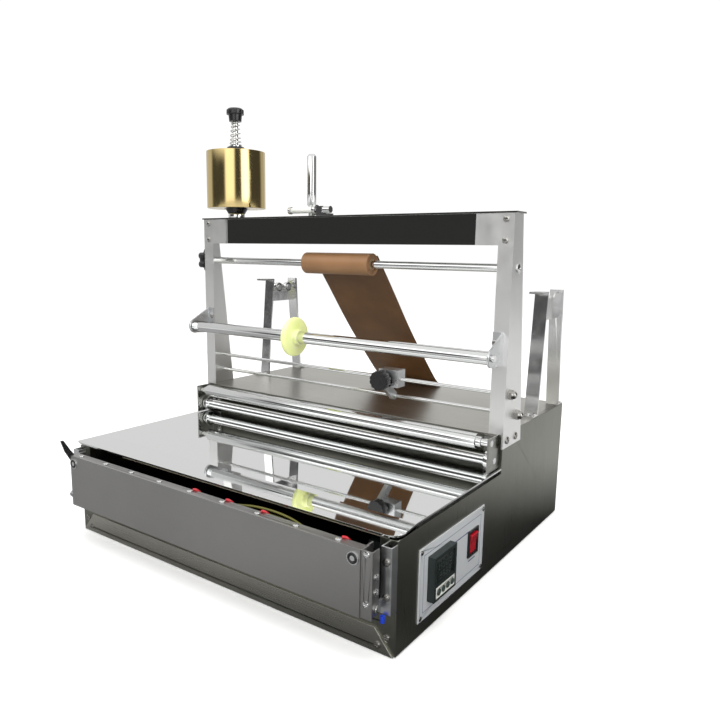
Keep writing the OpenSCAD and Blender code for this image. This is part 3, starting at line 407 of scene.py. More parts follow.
def lathe(name, centre, axis, profile, material, segments):
    """Closed ring turned round an axis: profile is a loop of (place along the axis, radius)."""
    axis_index = "XYZ".index(axis)
    first, second = [(1, 2), (0, 2), (0, 1)][axis_index]
    points, faces = [], []
    count = len(profile)
    for step in range(segments):
        angle = 2 * math.pi * step / segments
        for along, radius in profile:
            point = list(centre)
            point[axis_index] = along
            point[first] += radius * math.cos(angle)
            point[second] += radius * math.sin(angle)
            points.append(point)
        for k in range(count):
            here, there = step * count, (step + 1) % segments * count
            faces.append((here + k, here + (k + 1) % count, there + (k + 1) % count, there + k))
    return sharpen(mesh_object(name, points, faces, material))


def tube(name, path, radius, material, sides=12):
    """Round tube with flat ends along a path, its rings carried along without twist."""
    path = [Vector(p) for p in path]
    side = None
    points, faces = [], []
    for i, place in enumerate(path):
        along = (path[min(i + 1, len(path) - 1)] - path[max(i - 1, 0)]).normalized()
        if side is None:
            side = along.orthogonal().normalized()
        side = (side - along * side.dot(along)).normalized()
        up = along.cross(side)
        for k in range(sides):
            angle = 2 * math.pi * k / sides
            points.append(place + radius * (side * math.cos(angle) + up * math.sin(angle)))
    for i in range(len(path) - 1):
        for k in range(sides):
            nxt = (k + 1) % sides
            faces.append((i * sides + k, i * sides + nxt, (i + 1) * sides + nxt, (i + 1) * sides + k))
    faces.append(tuple(range(sides))[::-1])
    faces.append(tuple((len(path) - 1) * sides + k for k in range(sides)))
    return sharpen(mesh_object(name, points, faces, material), 50)


def smooth_path(points, steps):
    """Catmull-Rom curve through the points."""
    points = [Vector(p) for p in points]
    padded = [2 * points[0] - points[1], *points, 2 * points[-1] - points[-2]]
    path = []
    for a, b, c, d in zip(padded, padded[1:], padded[2:], padded[3:]):
        for step in range(steps):
            t = step / steps
            path.append(0.5 * (2 * b + (c - a) * t + (2 * a - 5 * b + 4 * c - d) * t * t
                               + (3 * b - a - 3 * c + d) * t ** 3))
    return [*path, points[-1]]


def slab(name, low, high, material, edge=0.0):
    """Rectangular plate with rounded edges."""
    low, high = Vector(low), Vector(high)
    corners = [(x, y, z) for z in (low.z, high.z) for y in (low.y, high.y) for x in (low.x, high.x)]
    faces = [(0, 2, 3, 1), (4, 5, 7, 6), (0, 1, 5, 4), (2, 6, 7, 3), (0, 4, 6, 2), (1, 3, 7, 5)]
    piece = mesh_object(name, corners, faces, material, smooth=bool(edge))
    if edge:
        shape = bmesh.new()
        shape.from_mesh(piece.data)
        bmesh.ops.bevel(shape, geom=list(shape.edges), offset=edge, segments=2, affect="EDGES",
                        profile=0.5)
        shape.to_mesh(piece.data)
        shape.free()
        sharpen(piece)
    return piece


def join(name, pieces):
    """One piece out of several meshes of the same material."""
    shape = bmesh.new()
    material = pieces[0].data.materials[0]
    for piece in pieces:
        shape.from_mesh(piece.data)
    mesh = bpy.data.meshes.new(name)
    shape.to_mesh(mesh)
    shape.free()
    mesh.materials.append(material)
    for piece in pieces:
        bpy.data.objects.remove(piece)
    joined = bpy.data.objects.new(name, mesh)
    bpy.context.scene.collection.objects.link(joined)
    return joined


def rides(piece, body, slot, *replaced):
    """The piece moves with a body and may stand for CAD nodes; its slot argument is not used."""
    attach(piece, body)
    if replaced:
        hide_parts(*replaced)
    return piece


# ---- Release cloth ----------------------------------------------------------

ROLL_CORE = 8.0
ROLL_BORE = 5.1
ROLL_TURN = 0.62
ROLL_FILL = 0.72  # share of a turn's pitch that the cloth itself fills
ROLL_STEPS = 56
ROLL_EDGE = 0.5
ROLL_WANDER = 0.9
CORE_INSET = 1.5
STRIP_THICK = 0.3
STRIP_WAVE = 0.5
STRIP_COLUMNS = 14
# Course of the strip from the roll to the deck's rear edge, as shares of the way back and down
STRIP_COURSE = [(0.20, 0.215), (0.46, 0.500), (0.69, 0.730), (0.91, 0.935)]
# And over that edge, as millimetres behind it and above it
STRIP_EDGE = [(2.0, 2.4), (5.6, -8.0)]
STRIP_HANG = 6.6  # how far behind that edge its end hangs


def cloth_roll():
    """Wound roll of release cloth on its card core: one spiral ribbon, its edges slightly uneven."""
    low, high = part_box("cloth_roll")
    middle = (low + high) / 2
    outer = (high.z - low.z) / 2
    inner = ROLL_CORE * MM
    turns = round((outer - inner) / (ROLL_TURN * MM))
    thick = (outer - inner) / turns * ROLL_FILL
    points, faces = [], []
    for i in range(turns * ROLL_STEPS + 1):
        angle = 2 * math.pi * i / ROLL_STEPS
        radius = inner + (outer - inner - thick) * i / (turns * ROLL_STEPS)
        shift = ROLL_WANDER * MM * noise.noise(Vector((i / ROLL_STEPS * 0.9, 0, 0)))
        left = low.x + ROLL_EDGE * MM + shift
        right = high.x - ROLL_EDGE * MM + shift
        for x, r in ((left, radius), (right, radius), (right, radius + thick), (left, radius + thick)):
            points.append((x, middle.y + r * math.cos(angle), middle.z + r * math.sin(angle)))
    for i in range(turns * ROLL_STEPS):
        for k in range(4):
            faces.append((4 * i + k, 4 * i + (k + 1) % 4, 4 * i + 4 + (k + 1) % 4, 4 * i + 4 + k))
    last = 4 * turns * ROLL_STEPS
    faces += [(0, 3, 2, 1), (last, last + 1, last + 2, last + 3)]
    rides(sharpen(mesh_object("cloth_roll_wound", points, faces, "cloth_roll"), 50),
          "cloth_core", "cloth", "cloth_roll")
    bore = ROLL_BORE * MM
    left, right = low.x + CORE_INSET * MM, high.x - CORE_INSET * MM
    profile = [(left, bore), (left, inner), (right, inner), (right, bore)]
    rides(lathe("cloth_roll_core", middle, "X", profile, "card", 64), "cloth_core", "cloth")


def cloth_strip():
    """Sheet from the back of the roll down to the deck's rear edge, hanging over it a little."""
    low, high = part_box("cloth_strip")
    deck_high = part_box("rear_deck")[1]
    half = STRIP_THICK * MM / 2
    back = deck_high.y
    run = Vector((back - low.y, deck_high.z - high.z))
    route = [
        (low.y + half, high.z - half),
        *((low.y + across * run.x, high.z + down * run.y) for across, down in STRIP_COURSE),
        *((back + behind * MM, deck_high.z + above * MM) for behind, above in STRIP_EDGE),
        (back + STRIP_HANG * MM, low.z + half),
    ]
    line = smooth_path([(0, y, z) for y, z in route], 12)
    columns = STRIP_COLUMNS
    points, faces = [], []
    for i, place in enumerate(line):
        along = (line[min(i + 1, len(line) - 1)] - line[max(i - 1, 0)]).normalized()
        out = Vector((0, -along.z, along.y))
        for side in (-1, 1):
            for k in range(columns + 1):
                x = low.x + (high.x - low.x) * k / columns
                free = math.sin(math.pi * i / (len(line) - 1))
                wave = STRIP_WAVE * MM * free * noise.noise(Vector((x * 9, i * 0.06, 3)))
                points.append(place + Vector((x, 0, 0)) + out * (side * half + wave))
    row = 2 * (columns + 1)
    for i in range(len(line) - 1):
        for side in (0, 1):
            for k in range(columns):
                a = i * row + side * (columns + 1) + k
                faces.append((a, a + 1, a + row + 1, a + row))
        for k in (0, columns):
            a = i * row + k
            faces.append((a, a + columns + 1, a + row + columns + 1, a + row))
    for base in (0, (len(line) - 1) * row):
        for k in range(columns):
            faces.append((base + k, base + k + 1, base + columns + 2 + k, base + columns + 1 + k))
    piece = rides(sharpen(mesh_object("cloth_strip_sheet", points, faces, "cloth"), 50),
                  "root", "cloth", "cloth_strip")


# ---- Wheel, reel and spring -------------------------------------------------

def arc(centre, radius, start, end, steps=6):
    """Points (along, radius) of a round corner, for a lathe's profile."""
    return [(centre[0] + radius * math.cos(math.radians(start + (end - start) * k / steps)),
             centre[1] + radius * math.sin(math.radians(start + (end - start) * k / steps)))
            for k in range(steps + 1)]


# Guide wheel: width and corners of its disc, wall and corners of its hub, slope between the two
WHEEL_DISC = 8
WHEEL_CORNER = 3.6
WHEEL_HUB = 2.5
WHEEL_SLOPE = (1.2, 1.5)
HUB_CORNER = 0.8
BORE_CORNER = 0.3
BORE_PLAY = 0.05


def guide_wheel():
    """Soft-cornered wheel with its hub, running on the idler tube."""
    low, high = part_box("guide_wheel")
    middle = (low + high) / 2
    outer = (high.z - low.z) / 2
    axle_low, axle_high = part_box("idler_tube")
    bore = (axle_high.z - axle_low.z) / 2 + BORE_PLAY * MM
    disc = low.x + WHEEL_DISC * MM
    corner = WHEEL_CORNER * MM
    hub = bore + WHEEL_HUB * MM
    hub_corner = HUB_CORNER * MM
    profile = [
        (low.x + BORE_CORNER * MM, bore),
        *arc((low.x + corner, outer - corner), corner, 180, 90),
        *arc((disc - corner, outer - corner), corner, 90, 0),
        (disc, hub + WHEEL_SLOPE[1] * MM),
        (disc + WHEEL_SLOPE[0] * MM, hub),
        *arc((high.x - hub_corner, hub - hub_corner), hub_corner, 90, 0, 3),
        (high.x, bore),
    ]
    rides(lathe("guide_wheel_soft", middle, "X", profile, "wheel_nylon", 128), "wheel",
          "wheel_nylon", "guide_wheel")


# Tape reel: radii of its card core, rounded edge, number of rings drawn on its faces and their lift
REEL_BORE = 17.8
REEL_CORE = 19
REEL_CORE_INSET = 1
REEL_EDGE = 0.5
REEL_RINGS = 46
REEL_LIFT = 0.22


def tape_reel():
    """Wound gold tape; its two faces show the edges of the turns."""
    low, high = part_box("tape_reel")
    middle = (low + high) / 2
    outer = (high.x - low.x) / 2
    inner = REEL_CORE * MM
    edge = REEL_EDGE * MM

    def face(z, sign):
        """Points (height, radius) across one face, some rings sunk a little."""
        step = (outer - edge - inner) / REEL_RINGS
        ring = []
        for k in range(REEL_RINGS + 1):
            lift = REEL_LIFT * MM * abs(noise.noise(Vector((k * 1.7, sign * 5, 0.5))))
            ring.append((z - sign * lift, inner + k * step))
        return ring

    profile = [
        *face(low.z, -1),
        *arc((low.z + edge, outer - edge), edge, 180, 90, 3),
        *arc((high.z - edge, outer - edge), edge, 90, 0, 3),
        *face(high.z, 1)[::-1],
    ]
    rides(lathe("tape_reel_wound", middle, "Z", profile, "gold_film", 192), "reel",
          "gold_film", "tape_reel")
    bore = REEL_BORE * MM
    bottom, top = low.z + REEL_CORE_INSET * MM, high.z - REEL_CORE_INSET * MM
    core = [(bottom, bore), (bottom, inner), (top, inner), (top, bore)]
    rides(lathe("tape_reel_core", middle, "Z", core, "card", 96), "reel", "gold_film")


# Spring: turns, wire and coil radius, narrowing upwards; its end turns lie closer together
SPRING_TURNS = 6
SPRING_STEPS = 36
SPRING_WIRE = 0.9
SPRING_RADIUS = 8.4
SPRING_NARROWING = 3
SPRING_CLOSING = 0.035
SPRING_PLAY = 0.05
WASHER_BORE = 4.2
WASHER_RADIUS = 9.6
WASHER_THICK = 1.2


def tape_spring():
    """Conical spring with closed end turns on its washer."""
    low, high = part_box("tape_spring")
    middle = (low + high) / 2
    washer_top = low.z + WASHER_THICK * MM
    wire = SPRING_WIRE * MM
    start, end = washer_top + wire + SPRING_PLAY * MM, high.z - wire
    steps = SPRING_TURNS * SPRING_STEPS
    path = []
    for i in range(steps + 1):
        t = i / steps
        angle = 2 * math.pi * SPRING_TURNS * t
        closing = t - SPRING_CLOSING * math.sin(2 * math.pi * t)
        radius = (SPRING_RADIUS - SPRING_NARROWING * t) * MM
        path.append((middle.x + radius * math.cos(angle), middle.y + radius * math.sin(angle),
                     start + (end - start) * closing))
    rides(tube("tape_spring_coil", path, wire, "chrome"), "root", "chrome", "tape_spring")
    bore, rim = WASHER_BORE * MM, WASHER_RADIUS * MM
    profile = [(low.z, bore), (low.z, rim), (washer_top, rim), (washer_top, bore)]
    rides(lathe("tape_spring_washer", middle, "Z", profile, "chrome", 48), "root", "chrome")


# ---- Flap details -----------------------------------------------------------

# Stud washers: how far from the flap's middle and below its top they sit
STUD_REACH = 220.0
STUD_DROP = 10.0
# Grommet: radii of its bore, throat, round lip and rim, how far its foot and lip stand out
GROMMET_RADII = (2.7, 2.9, 4.2, 5.5)
GROMMET_FOOT = 0.4
GROMMET_OUT = 1.0
GROMMET_LIP = 1.1


def flap_middle():
    """Middle of the flap's shell along X, without the channel at its right end."""
    low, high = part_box("flap_heater")
    return (low.x + high.x) / 2


def flap_grommets():
    """Black grommet ring in the stud washer near each top end of the flap."""
    low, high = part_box("flap_shell")
    foot, out = low.y - GROMMET_FOOT * MM, low.y - GROMMET_OUT * MM
    bore, throat, lip, rim = (radius * MM for radius in GROMMET_RADII)
    round_lip = arc((out, lip), GROMMET_LIP * MM, 240, 120, 5)
    profile = [(foot, bore), (out, throat), *round_lip, (foot, rim)]
    rings = []
    for side in (-1, 1):
        centre = Vector((flap_middle() + side * STUD_REACH * MM, low.y, high.z - STUD_DROP * MM))
        rings.append(lathe(f"grommet_{side}", centre, "Y", profile, "black_plastic", 48))
    rides(join("flap_grommets", rings), "flap", "black_plastic")


# Screws that have a sleeve, counted from 0 at the left; the screws' number, pitch and shift from the
# flap's middle
RED_SLEEVES = (4, 5, 6, 8)
FLAP_SCREWS = 9
FLAP_PITCH = 51.3
SCREW_SHIFT = -6.0
# Sleeve: its start beside the screw, behind the shell's front and above its top, and its bends
SLEEVE_BESIDE = 1.0
SLEEVE_BEHIND = 10.6
SLEEVE_ABOVE = 0.9
SLEEVE_BENDS = [(2.2, 0.8, 0.3), (4.4, 2.2, -0.8), (5.6, 4.6, -3.4)]
SLEEVE_RADIUS = 1.4


def flap_sleeves():
    """Short red insulating sleeves beside some of the screws on the flap's top."""
    low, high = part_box("flap_shell")
    sleeves = []
    for index in RED_SLEEVES:
        x = flap_middle() + (SCREW_SHIFT + (index - (FLAP_SCREWS - 1) / 2) * FLAP_PITCH) * MM
        start = Vector((x + SLEEVE_BESIDE * MM, low.y + SLEEVE_BEHIND * MM,
                        high.z + SLEEVE_ABOVE * MM))
        path = smooth_path([start, *(start + Vector(bend) * MM for bend in SLEEVE_BENDS)], 6)
        sleeves.append(tube(f"sleeve_{index}", path, SLEEVE_RADIUS * MM, "red_plastic", 10))
    rides(join("flap_sleeves", sleeves), "flap", "red_plastic")


LEAD_COUNT = 3
LEAD_PITCH = 5
LEAD_RADIUS = 1.3
# Leads: how far before the casing and below the flap's top they run, and their course, whose ends
# turn back into the casing, as (right of the wiring's left end or of the flap's middle, back, up)
LEAD_BEFORE = 3
LEAD_BELOW = 26
COURSE_FROM_LEFT = [(52, 26, -4), (60, 0, 0)]
COURSE_FROM_MIDDLE = [(-60, -1, -4), (30, 0, 13), (80, -1, 22), (125, 0, 20), (165, 0, 6),
                      (200, 0, -2), (208, 26, -6)]


def leads():
    """Leads that run in the gap between the casing and the flap, one below the other."""
    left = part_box("internal_wiring")[0].x
    middle = flap_middle()
    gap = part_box("right_side")[0].y - LEAD_BEFORE * MM
    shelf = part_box("flap_shell")[1].z - LEAD_BELOW * MM
    course = [(left + right * MM, back, up) for right, back, up in COURSE_FROM_LEFT]
    course += [(middle + right * MM, back, up) for right, back, up in COURSE_FROM_MIDDLE]
    strands = []
    for k in range(LEAD_COUNT):
        drop = LEAD_PITCH * MM * k
        route = [(x, gap + back * MM, shelf + up * MM - drop) for x, back, up in course]
        strands.append(tube(f"strand_{k}", smooth_path(route, 8), LEAD_RADIUS * MM, "yellow_wire", 8))
    rides(join("leads", strands), "root", "wire", "internal_wiring")


# Crimp sleeve: inset of its tip from the wiring's right front, drop below the flap, bends and radius.
# Its lead starts right of the flap heater's end, a little behind and above the tip, and sags to it
CRIMP_INSET = 2.6
CRIMP_BELOW = 6.5
CRIMP_BENDS = [(0.1, 0, 3.4), (0, 0.1, 6.8)]
CRIMP_RADIUS = 2.3
CRIMP_LEAD_BESIDE = 4
CRIMP_LEAD_RISE = 2
CRIMP_LEAD_SAG = (0, 0, -1.0)
CRIMP_LEAD_END = (0, 0, 1.2)
CRIMP_LEAD_RADIUS = 0.8


def crimp():
    """Blue crimp sleeve below the flap's right end, and the lead that comes out of it."""
    low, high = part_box("internal_wiring")
    flap_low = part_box("flap_shell")[0]
    tip = Vector((high.x - CRIMP_INSET * MM, low.y + CRIMP_INSET * MM, flap_low.z - CRIMP_BELOW * MM))
    sleeve = smooth_path([tip, *(tip + Vector(bend) * MM for bend in CRIMP_BENDS)], 6)
    rides(tube("crimp_sleeve", sleeve, CRIMP_RADIUS * MM, "blue_sleeve", 14), "root", "wire")
    rise = CRIMP_LEAD_RISE * MM
    start = Vector((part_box("flap_heater")[1].x + CRIMP_LEAD_BESIDE * MM, tip.y + rise, tip.z + rise))
    sag = (start + tip) / 2 + Vector(CRIMP_LEAD_SAG) * MM
    lead = smooth_path([start, sag, tip + Vector(CRIMP_LEAD_END) * MM], 8)
    rides(tube("crimp_lead", lead, CRIMP_LEAD_RADIUS * MM, "dark_wire", 8), "root", "wire")


# ---- Control panel details --------------------------------------------------

SEGMENT_LINES = [  # the seven strokes of a digit, as ends on a grid one wide and two high
    ((0, 2), (1, 2)), ((1, 2), (1, 1)), ((1, 1), (1, 0)), ((0, 0), (1, 0)),
    ((0, 1), (0, 0)), ((0, 2), (0, 1)), ((0, 1), (1, 1)),
]


# Window: its half width, how far it goes below and above the controller's middle, and how far its
# back and front lie behind the controller's face
WINDOW_REACH = 19.9
WINDOW_SPAN = (5.9, 19.9)
WINDOW_DEPTHS = (1.5, 0.7)
WINDOW_EDGE = 0.1
# Digits: height of each row and of its foot above the middle; width by height, space, stroke's half
# width and the gap before its ends, and how far the strokes' backs and fronts lie behind the face
DIGIT_ROWS = [(8.6, 8.2), (6.4, -2.2)]
DIGIT_COUNT = 4
DIGIT_SHAPE = 0.52
DIGIT_SPACE = 3.2
STROKE_HALF = 0.42
STROKE_GAP = 0.55
STROKE_DEPTHS = (0.72, 0.62)
# White strip round the keys: half width, how far it goes below and above their foot, thickness and
# rounded edge; the holes in it leave the keys some play
KEY_STRIP_REACH = 20
KEY_STRIP_SPAN = (2.6, 9.2)
KEY_STRIP_THICK = 0.35
KEY_STRIP_EDGE = 0.12
KEYS = ["set_button", "shift_button", "down_button", "up_button"]
KEY_PLAY = 0.35
CUT_REACH = 2
CUT_BORE = 0.001


def controller_middle():
    """Point in the middle of the controller's face."""
    low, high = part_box("controller_case")
    return Vector((high.x, (low.y + high.y) / 2, (low.z + high.z) / 2))


def controller_window():
    """Dark window over the upper part of the controller's face."""
    middle = controller_middle()
    back, front = (middle.x - depth * MM for depth in WINDOW_DEPTHS)
    below, above = WINDOW_SPAN
    low = (back, middle.y - WINDOW_REACH * MM, middle.z - below * MM)
    high = (front, middle.y + WINDOW_REACH * MM, middle.z + above * MM)
    rides(slab("controller_window", low, high, "glass", WINDOW_EDGE * MM), "root", "dark_plastic")


def controller_digits():
    """Two rows of unlit seven-segment digits in the window."""
    middle = controller_middle()
    back, front = (middle.x - depth * MM for depth in STROKE_DEPTHS)
    strokes = []
    for row, (height, foot) in enumerate(DIGIT_ROWS):
        wide = height * DIGIT_SHAPE
        for digit in range(DIGIT_COUNT):
            place = digit - (DIGIT_COUNT - 1) / 2
            left = middle.y + place * (wide + DIGIT_SPACE) * MM - wide / 2 * MM
            for index, (a, b) in enumerate(SEGMENT_LINES):
                start = Vector((a[0] * wide, a[1] * height / 2))
                end = Vector((b[0] * wide, b[1] * height / 2))
                gap = (end - start).normalized() * STROKE_GAP
                p, q = start + gap, end - gap
                low = (back, left + (min(p.x, q.x) - STROKE_HALF) * MM,
                       middle.z + (foot + min(p.y, q.y) - STROKE_HALF) * MM)
                high = (front, left + (max(p.x, q.x) + STROKE_HALF) * MM,
                        middle.z + (foot + max(p.y, q.y) + STROKE_HALF) * MM)
                strokes.append(slab(f"stroke_{row}_{digit}_{index}", low, high, "segments"))
    rides(join("controller_digits", strokes), "root", "dark_plastic")


def key_strip():
    """White strip with holes that the controller's keys stand in."""
    middle = controller_middle()
    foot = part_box("set_button")[0].z
    below, above = KEY_STRIP_SPAN
    low = (middle.x, middle.y - KEY_STRIP_REACH * MM, foot - below * MM)
    high = (middle.x + KEY_STRIP_THICK * MM, middle.y + KEY_STRIP_REACH * MM, foot + above * MM)
    strip = slab("controller_strip", low, high, "white_plastic", KEY_STRIP_EDGE * MM)
    for key in KEYS:
        cut_hole(strip, key)
    rides(strip, "root", "white_plastic")


def cut_hole(plate, key):
    """Round hole through a thin plate where the key stands."""
    low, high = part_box(key)
    radius = (high.z - low.z) / 2 + KEY_PLAY * MM
    back, front = low.x - CUT_REACH * MM, high.x + CUT_REACH * MM
    profile = [(back, CUT_BORE * MM), (back, radius), (front, radius), (front, CUT_BORE * MM)]
    cutter = lathe(f"cut_{key}", (low + high) / 2, "X", profile, "white_plastic", 40)
    cut = plate.modifiers.new("cut", "BOOLEAN")
    cut.object = cutter
    cut.operation = "DIFFERENCE"
    cut.solver = "EXACT"
    bpy.context.view_layer.update()
    shaped = plate.evaluated_get(bpy.context.evaluated_depsgraph_get())
    mesh = bpy.data.meshes.new_from_object(shaped)
    plate.modifiers.clear()
    plate.data = mesh
    bpy.data.objects.remove(cutter)


# Printed frame line: inset from the panel's edges, width and thickness of its ink
PRINT_INSET = 8.5
PRINT_LINE = 0.55
PRINT_THICK = 0.06
# Marks below the switch and under the panel's top: inset from each end, and how far down they lie
SWITCH_MARK_INSETS = (4, 4)
SWITCH_MARK_DOWN = (6, 4.6)
TITLE_MARK_INSETS = (55, 38)
TITLE_MARK_DOWN = (20.2, 18.8)


def panel_print():
    """Thin printed frame line round the panel and two plain marks by its controls."""
    low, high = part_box("control_panel")
    switch_low, switch_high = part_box("rocker_bezel")
    face = high.x
    front = face + PRINT_THICK * MM
    inset, line = PRINT_INSET * MM, PRINT_LINE * MM
    near, far = low.y + inset, high.y - inset
    bottom, top = low.z + inset, high.z - inset

    def mark(name, y_low, y_high, z_top, insets, down):
        """Plain bar of ink below a height."""
        return (name, y_low + insets[0] * MM, y_high - insets[1] * MM, z_top - down[0] * MM,
                z_top - down[1] * MM)

    bars = [
        ("top", near, far, top - line, top),
        ("bottom", near, far, bottom - line, bottom),
        ("near", near, near + line, bottom, top),
        ("far", far - line, far, bottom, top),
        mark("mark_switch", switch_low.y, switch_high.y, switch_low.z, SWITCH_MARK_INSETS,
             SWITCH_MARK_DOWN),
        mark("mark_title", low.y, high.y, high.z, TITLE_MARK_INSETS, TITLE_MARK_DOWN),
    ]
    pieces = [slab(f"print_{name}", (face, y0, z0), (front, y1, z1), "print")
              for name, y0, y1, z0, z1 in bars]
    rides(join("panel_print", pieces), "root", "panel_plate")


# ---- Studio -----------------------------------------------------------------

def smooth_band(tree, value, start, end, soft):
    """1 where the value lies between start and end, falling to 0 over soft."""
    rise = add_node(tree, "ShaderNodeMapRange", interpolation_type="SMOOTHSTEP")
    fall = add_node(tree, "ShaderNodeMapRange", interpolation_type="SMOOTHSTEP")
    for node, low, high in ((rise, start - soft, start + soft), (fall, end + soft, end - soft)):
        node.inputs["From Min"].default_value = low
        node.inputs["From Max"].default_value = high
        tree.links.new(value, node.inputs["Value"])
    return combined(tree, "MULTIPLY", rise.outputs["Result"], fall.outputs["Result"])


def layered(tree, base, factor, level):
    """Brightness base, turned to level where the factor is 1."""
    mix = add_node(tree, "ShaderNodeMix", data_type="FLOAT")
    tree.links.new(factor, mix.inputs["Factor"])
    if isinstance(base, float):
        mix.inputs["A"].default_value = base
    else:
        tree.links.new(base, mix.inputs["A"])
    mix.inputs["B"].default_value = level
    return mix.outputs["Result"]


ROOM_COLOUR = (1, 0.998, 0.99)
ROOM_DARK = 0.08
BACKDROP_LEVEL = 1.05
# Bright areas of the studio, each laid over the ones before: azimuth in degrees from the machine's
# front (-Y) towards its right (+X), elevation in degrees, softness in degrees, brightness
ALL_ROUND = (-200, 200)
FULL_HEIGHT = (-90, 100)
BRIGHT_AREAS = [
    {"azimuth": (2, 38), "elevation": FULL_HEIGHT, "soft": 6, "level": 1.9},
    {"azimuth": (66, 96), "elevation": FULL_HEIGHT, "soft": 5, "level": 3.6},
    {"azimuth": (-60, 20), "elevation": (20, 100), "soft": 7, "level": 2.1},
    {"azimuth": (158, 182), "elevation": FULL_HEIGHT, "soft": 8, "level": 0.6},
    {"azimuth": (-182, -62), "elevation": FULL_HEIGHT, "soft": 8, "level": 0.72},
    {"azimuth": ALL_ROUND, "elevation": (38, 100), "soft": 9, "level": 1.0},
]


def make_world():
    """Studio round the machine: a dark room with bright areas, and a white backdrop for the camera."""
    world = bpy.data.worlds.new("studio")
    bpy.context.scene.world = world
    world.use_nodes = True
    tree = world.node_tree
    place = add_node(tree, "ShaderNodeTexCoord")
    split = add_node(tree, "ShaderNodeSeparateXYZ")
    tree.links.new(place.outputs["Generated"], split.inputs["Vector"])
    front = add_node(tree, "ShaderNodeMath", operation="MULTIPLY")
    front.inputs[1].default_value = -1
    tree.links.new(split.outputs["Y"], front.inputs[0])
    turn = combined(tree, "ARCTAN2", split.outputs["X"], front.outputs["Value"])
    azimuth = combined(tree, "DEGREES", turn)
    elevation = combined(tree, "DEGREES", combined(tree, "ARCSINE", split.outputs["Z"]))
    level = ROOM_DARK
    for area in BRIGHT_AREAS:
        across = smooth_band(tree, azimuth, *area["azimuth"], area["soft"])
        upward = smooth_band(tree, elevation, *area["elevation"], area["soft"])
        level = layered(tree, level, combined(tree, "MULTIPLY", across, upward), area["level"])
    ray = add_node(tree, "ShaderNodeLightPath")
    seen = add_node(tree, "ShaderNodeMix", data_type="FLOAT")
    tree.links.new(ray.outputs["Is Camera Ray"], seen.inputs["Factor"])
    tree.links.new(level, seen.inputs["A"])
    seen.inputs["B"].default_value = BACKDROP_LEVEL
    tree.links.new(seen.outputs["Result"], tree.nodes["Background"].inputs["Strength"])
    tree.nodes["Background"].inputs["Color"].default_value = (*ROOM_COLOUR, 1)


# Painted light and shade of the table in the machine's reflections: painted shade, dark beside the
# machine, and painted light, paler towards its left front, towards its right rear and far away.
# TABLE_TURN and TABLE_BACK_EDGE are metres along TABLE_AXIS, TABLE_EDGE is metres from the machine's
# middle
TABLE_AXIS = (0.7, 0.7, 0)
TABLE_PAINTED_SHADE = 0.04
TABLE_FRONT = 0.30
TABLE_TURN = (-0.22, 0.10)
TABLE_FAR = 0.80
TABLE_EDGE = (0.85, 1.9)
TABLE_BACK = 0.52
TABLE_BACK_EDGE = (0.30, 0.58)
FLOOR_GLOW = 0.22
FLOOR_REACH = 3.2


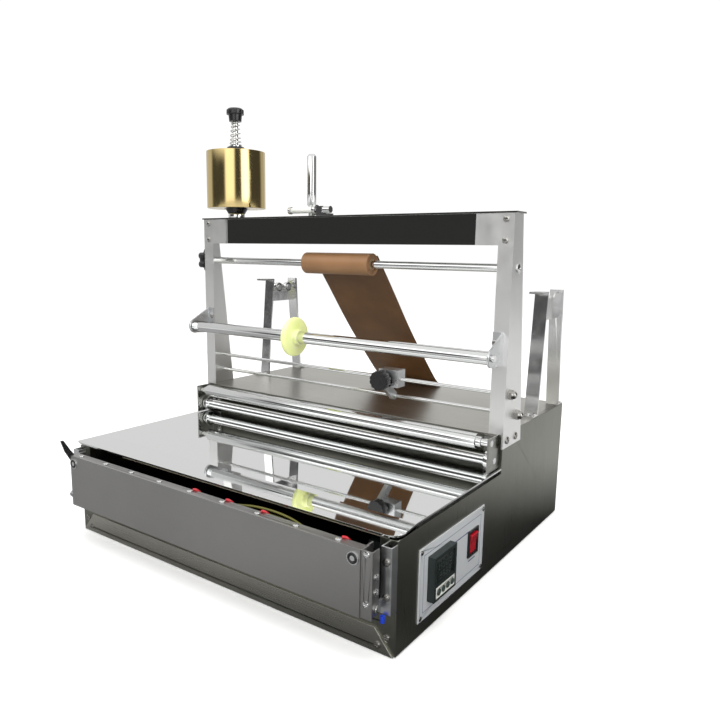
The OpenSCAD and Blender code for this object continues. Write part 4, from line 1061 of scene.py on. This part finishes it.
def make_floor():
    """Plain pale floor that fades into the backdrop; the machine itself reflects a table with painted
    shade beside it and painted light further off.
    """
    material = new_material("floor", (0.88, 0.88, 0.875), 0.0, 0.9, Emission_Strength=FLOOR_GLOW)
    MATERIALS["floor"] = material
    tree = material.node_tree
    pale = tree.nodes["Principled BSDF"]
    pale.inputs["Emission Color"].default_value = (1, 1, 1, 1)
    place = add_node(tree, "ShaderNodeTexCoord")
    away = add_node(tree, "ShaderNodeVectorMath", operation="LENGTH")
    tree.links.new(place.outputs["Object"], away.inputs[0])
    across = add_node(tree, "ShaderNodeVectorMath", operation="DOT_PRODUCT")
    tree.links.new(place.outputs["Object"], across.inputs[0])
    across.inputs[1].default_value = TABLE_AXIS
    # Painted shade beside the machine and painted light away from it, seen only in the machine's
    # reflections.
    near = ranged(material, across.outputs["Value"], TABLE_FRONT, TABLE_PAINTED_SHADE, *TABLE_TURN)
    far = ranged(material, away.outputs["Value"], 0, TABLE_FAR, *TABLE_EDGE)
    back = ranged(material, across.outputs["Value"], 0, TABLE_BACK, *TABLE_BACK_EDGE)
    shade = combined(tree, "MAXIMUM", combined(tree, "MAXIMUM", near, back), far)
    table = add_node(tree, "ShaderNodeBsdfDiffuse")
    tree.links.new(shade, table.inputs["Color"])
    ray = add_node(tree, "ShaderNodeLightPath")
    seen = add_node(tree, "ShaderNodeMixShader")
    tree.links.new(ray.outputs["Is Camera Ray"], seen.inputs[0])
    tree.links.new(table.outputs["BSDF"], seen.inputs[1])
    tree.links.new(pale.outputs["BSDF"], seen.inputs[2])
    tree.links.new(seen.outputs["Shader"], tree.nodes["Material Output"].inputs["Surface"])
    angles = [math.radians(degrees) for degrees in range(0, 360, 5)]
    rim = [(FLOOR_REACH * math.cos(angle), FLOOR_REACH * math.sin(angle), 0) for angle in angles]
    floor = mesh_object("floor", rim, [tuple(range(len(rim)))], "floor", smooth=False)


def area_light(name, place, target, size, power):
    """Soft rectangular light that isn't seen in reflections."""
    data = bpy.data.lights.new(name, "AREA")
    data.energy = power
    data.shape = "RECTANGLE"
    data.size, data.size_y = size
    light = bpy.data.objects.new(name, data)
    light.location = place
    light.rotation_mode = "QUATERNION"
    light.rotation_quaternion = (Vector(target) - Vector(place)).to_track_quat("-Z", "Y")
    light.visible_glossy = False
    bpy.context.scene.collection.objects.link(light)


# Where each light stands, what it points at, its width and height in metres and its watts
LIGHTS = {
    "overhead": {"place": (0.1, -0.1, 2.3), "target": (0, 0, 0.1), "size": (2.4, 2.0), "power": 30},
    "front": {"place": (0.9, -2.0, 1.2), "target": (0, 0, 0.2), "size": (1.6, 1.2), "power": 14},
}


def make_lights():
    """Soft lights on the dull surfaces; the bright areas of the studio are what polished ones show."""
    for name, light in LIGHTS.items():
        area_light(name, **light)


# ---- The scene --------------------------------------------------------------

make_camera()
make_world()
make_floor()
make_lights()
bpy.context.scene.view_settings.view_transform = "Standard"

finish_cad_nodes()
cloth_roll()
cloth_strip()
guide_wheel()
tape_reel()
tape_spring()
flap_grommets()
flap_sleeves()
leads()
crimp()
controller_window()
controller_digits()
key_strip()
panel_print()
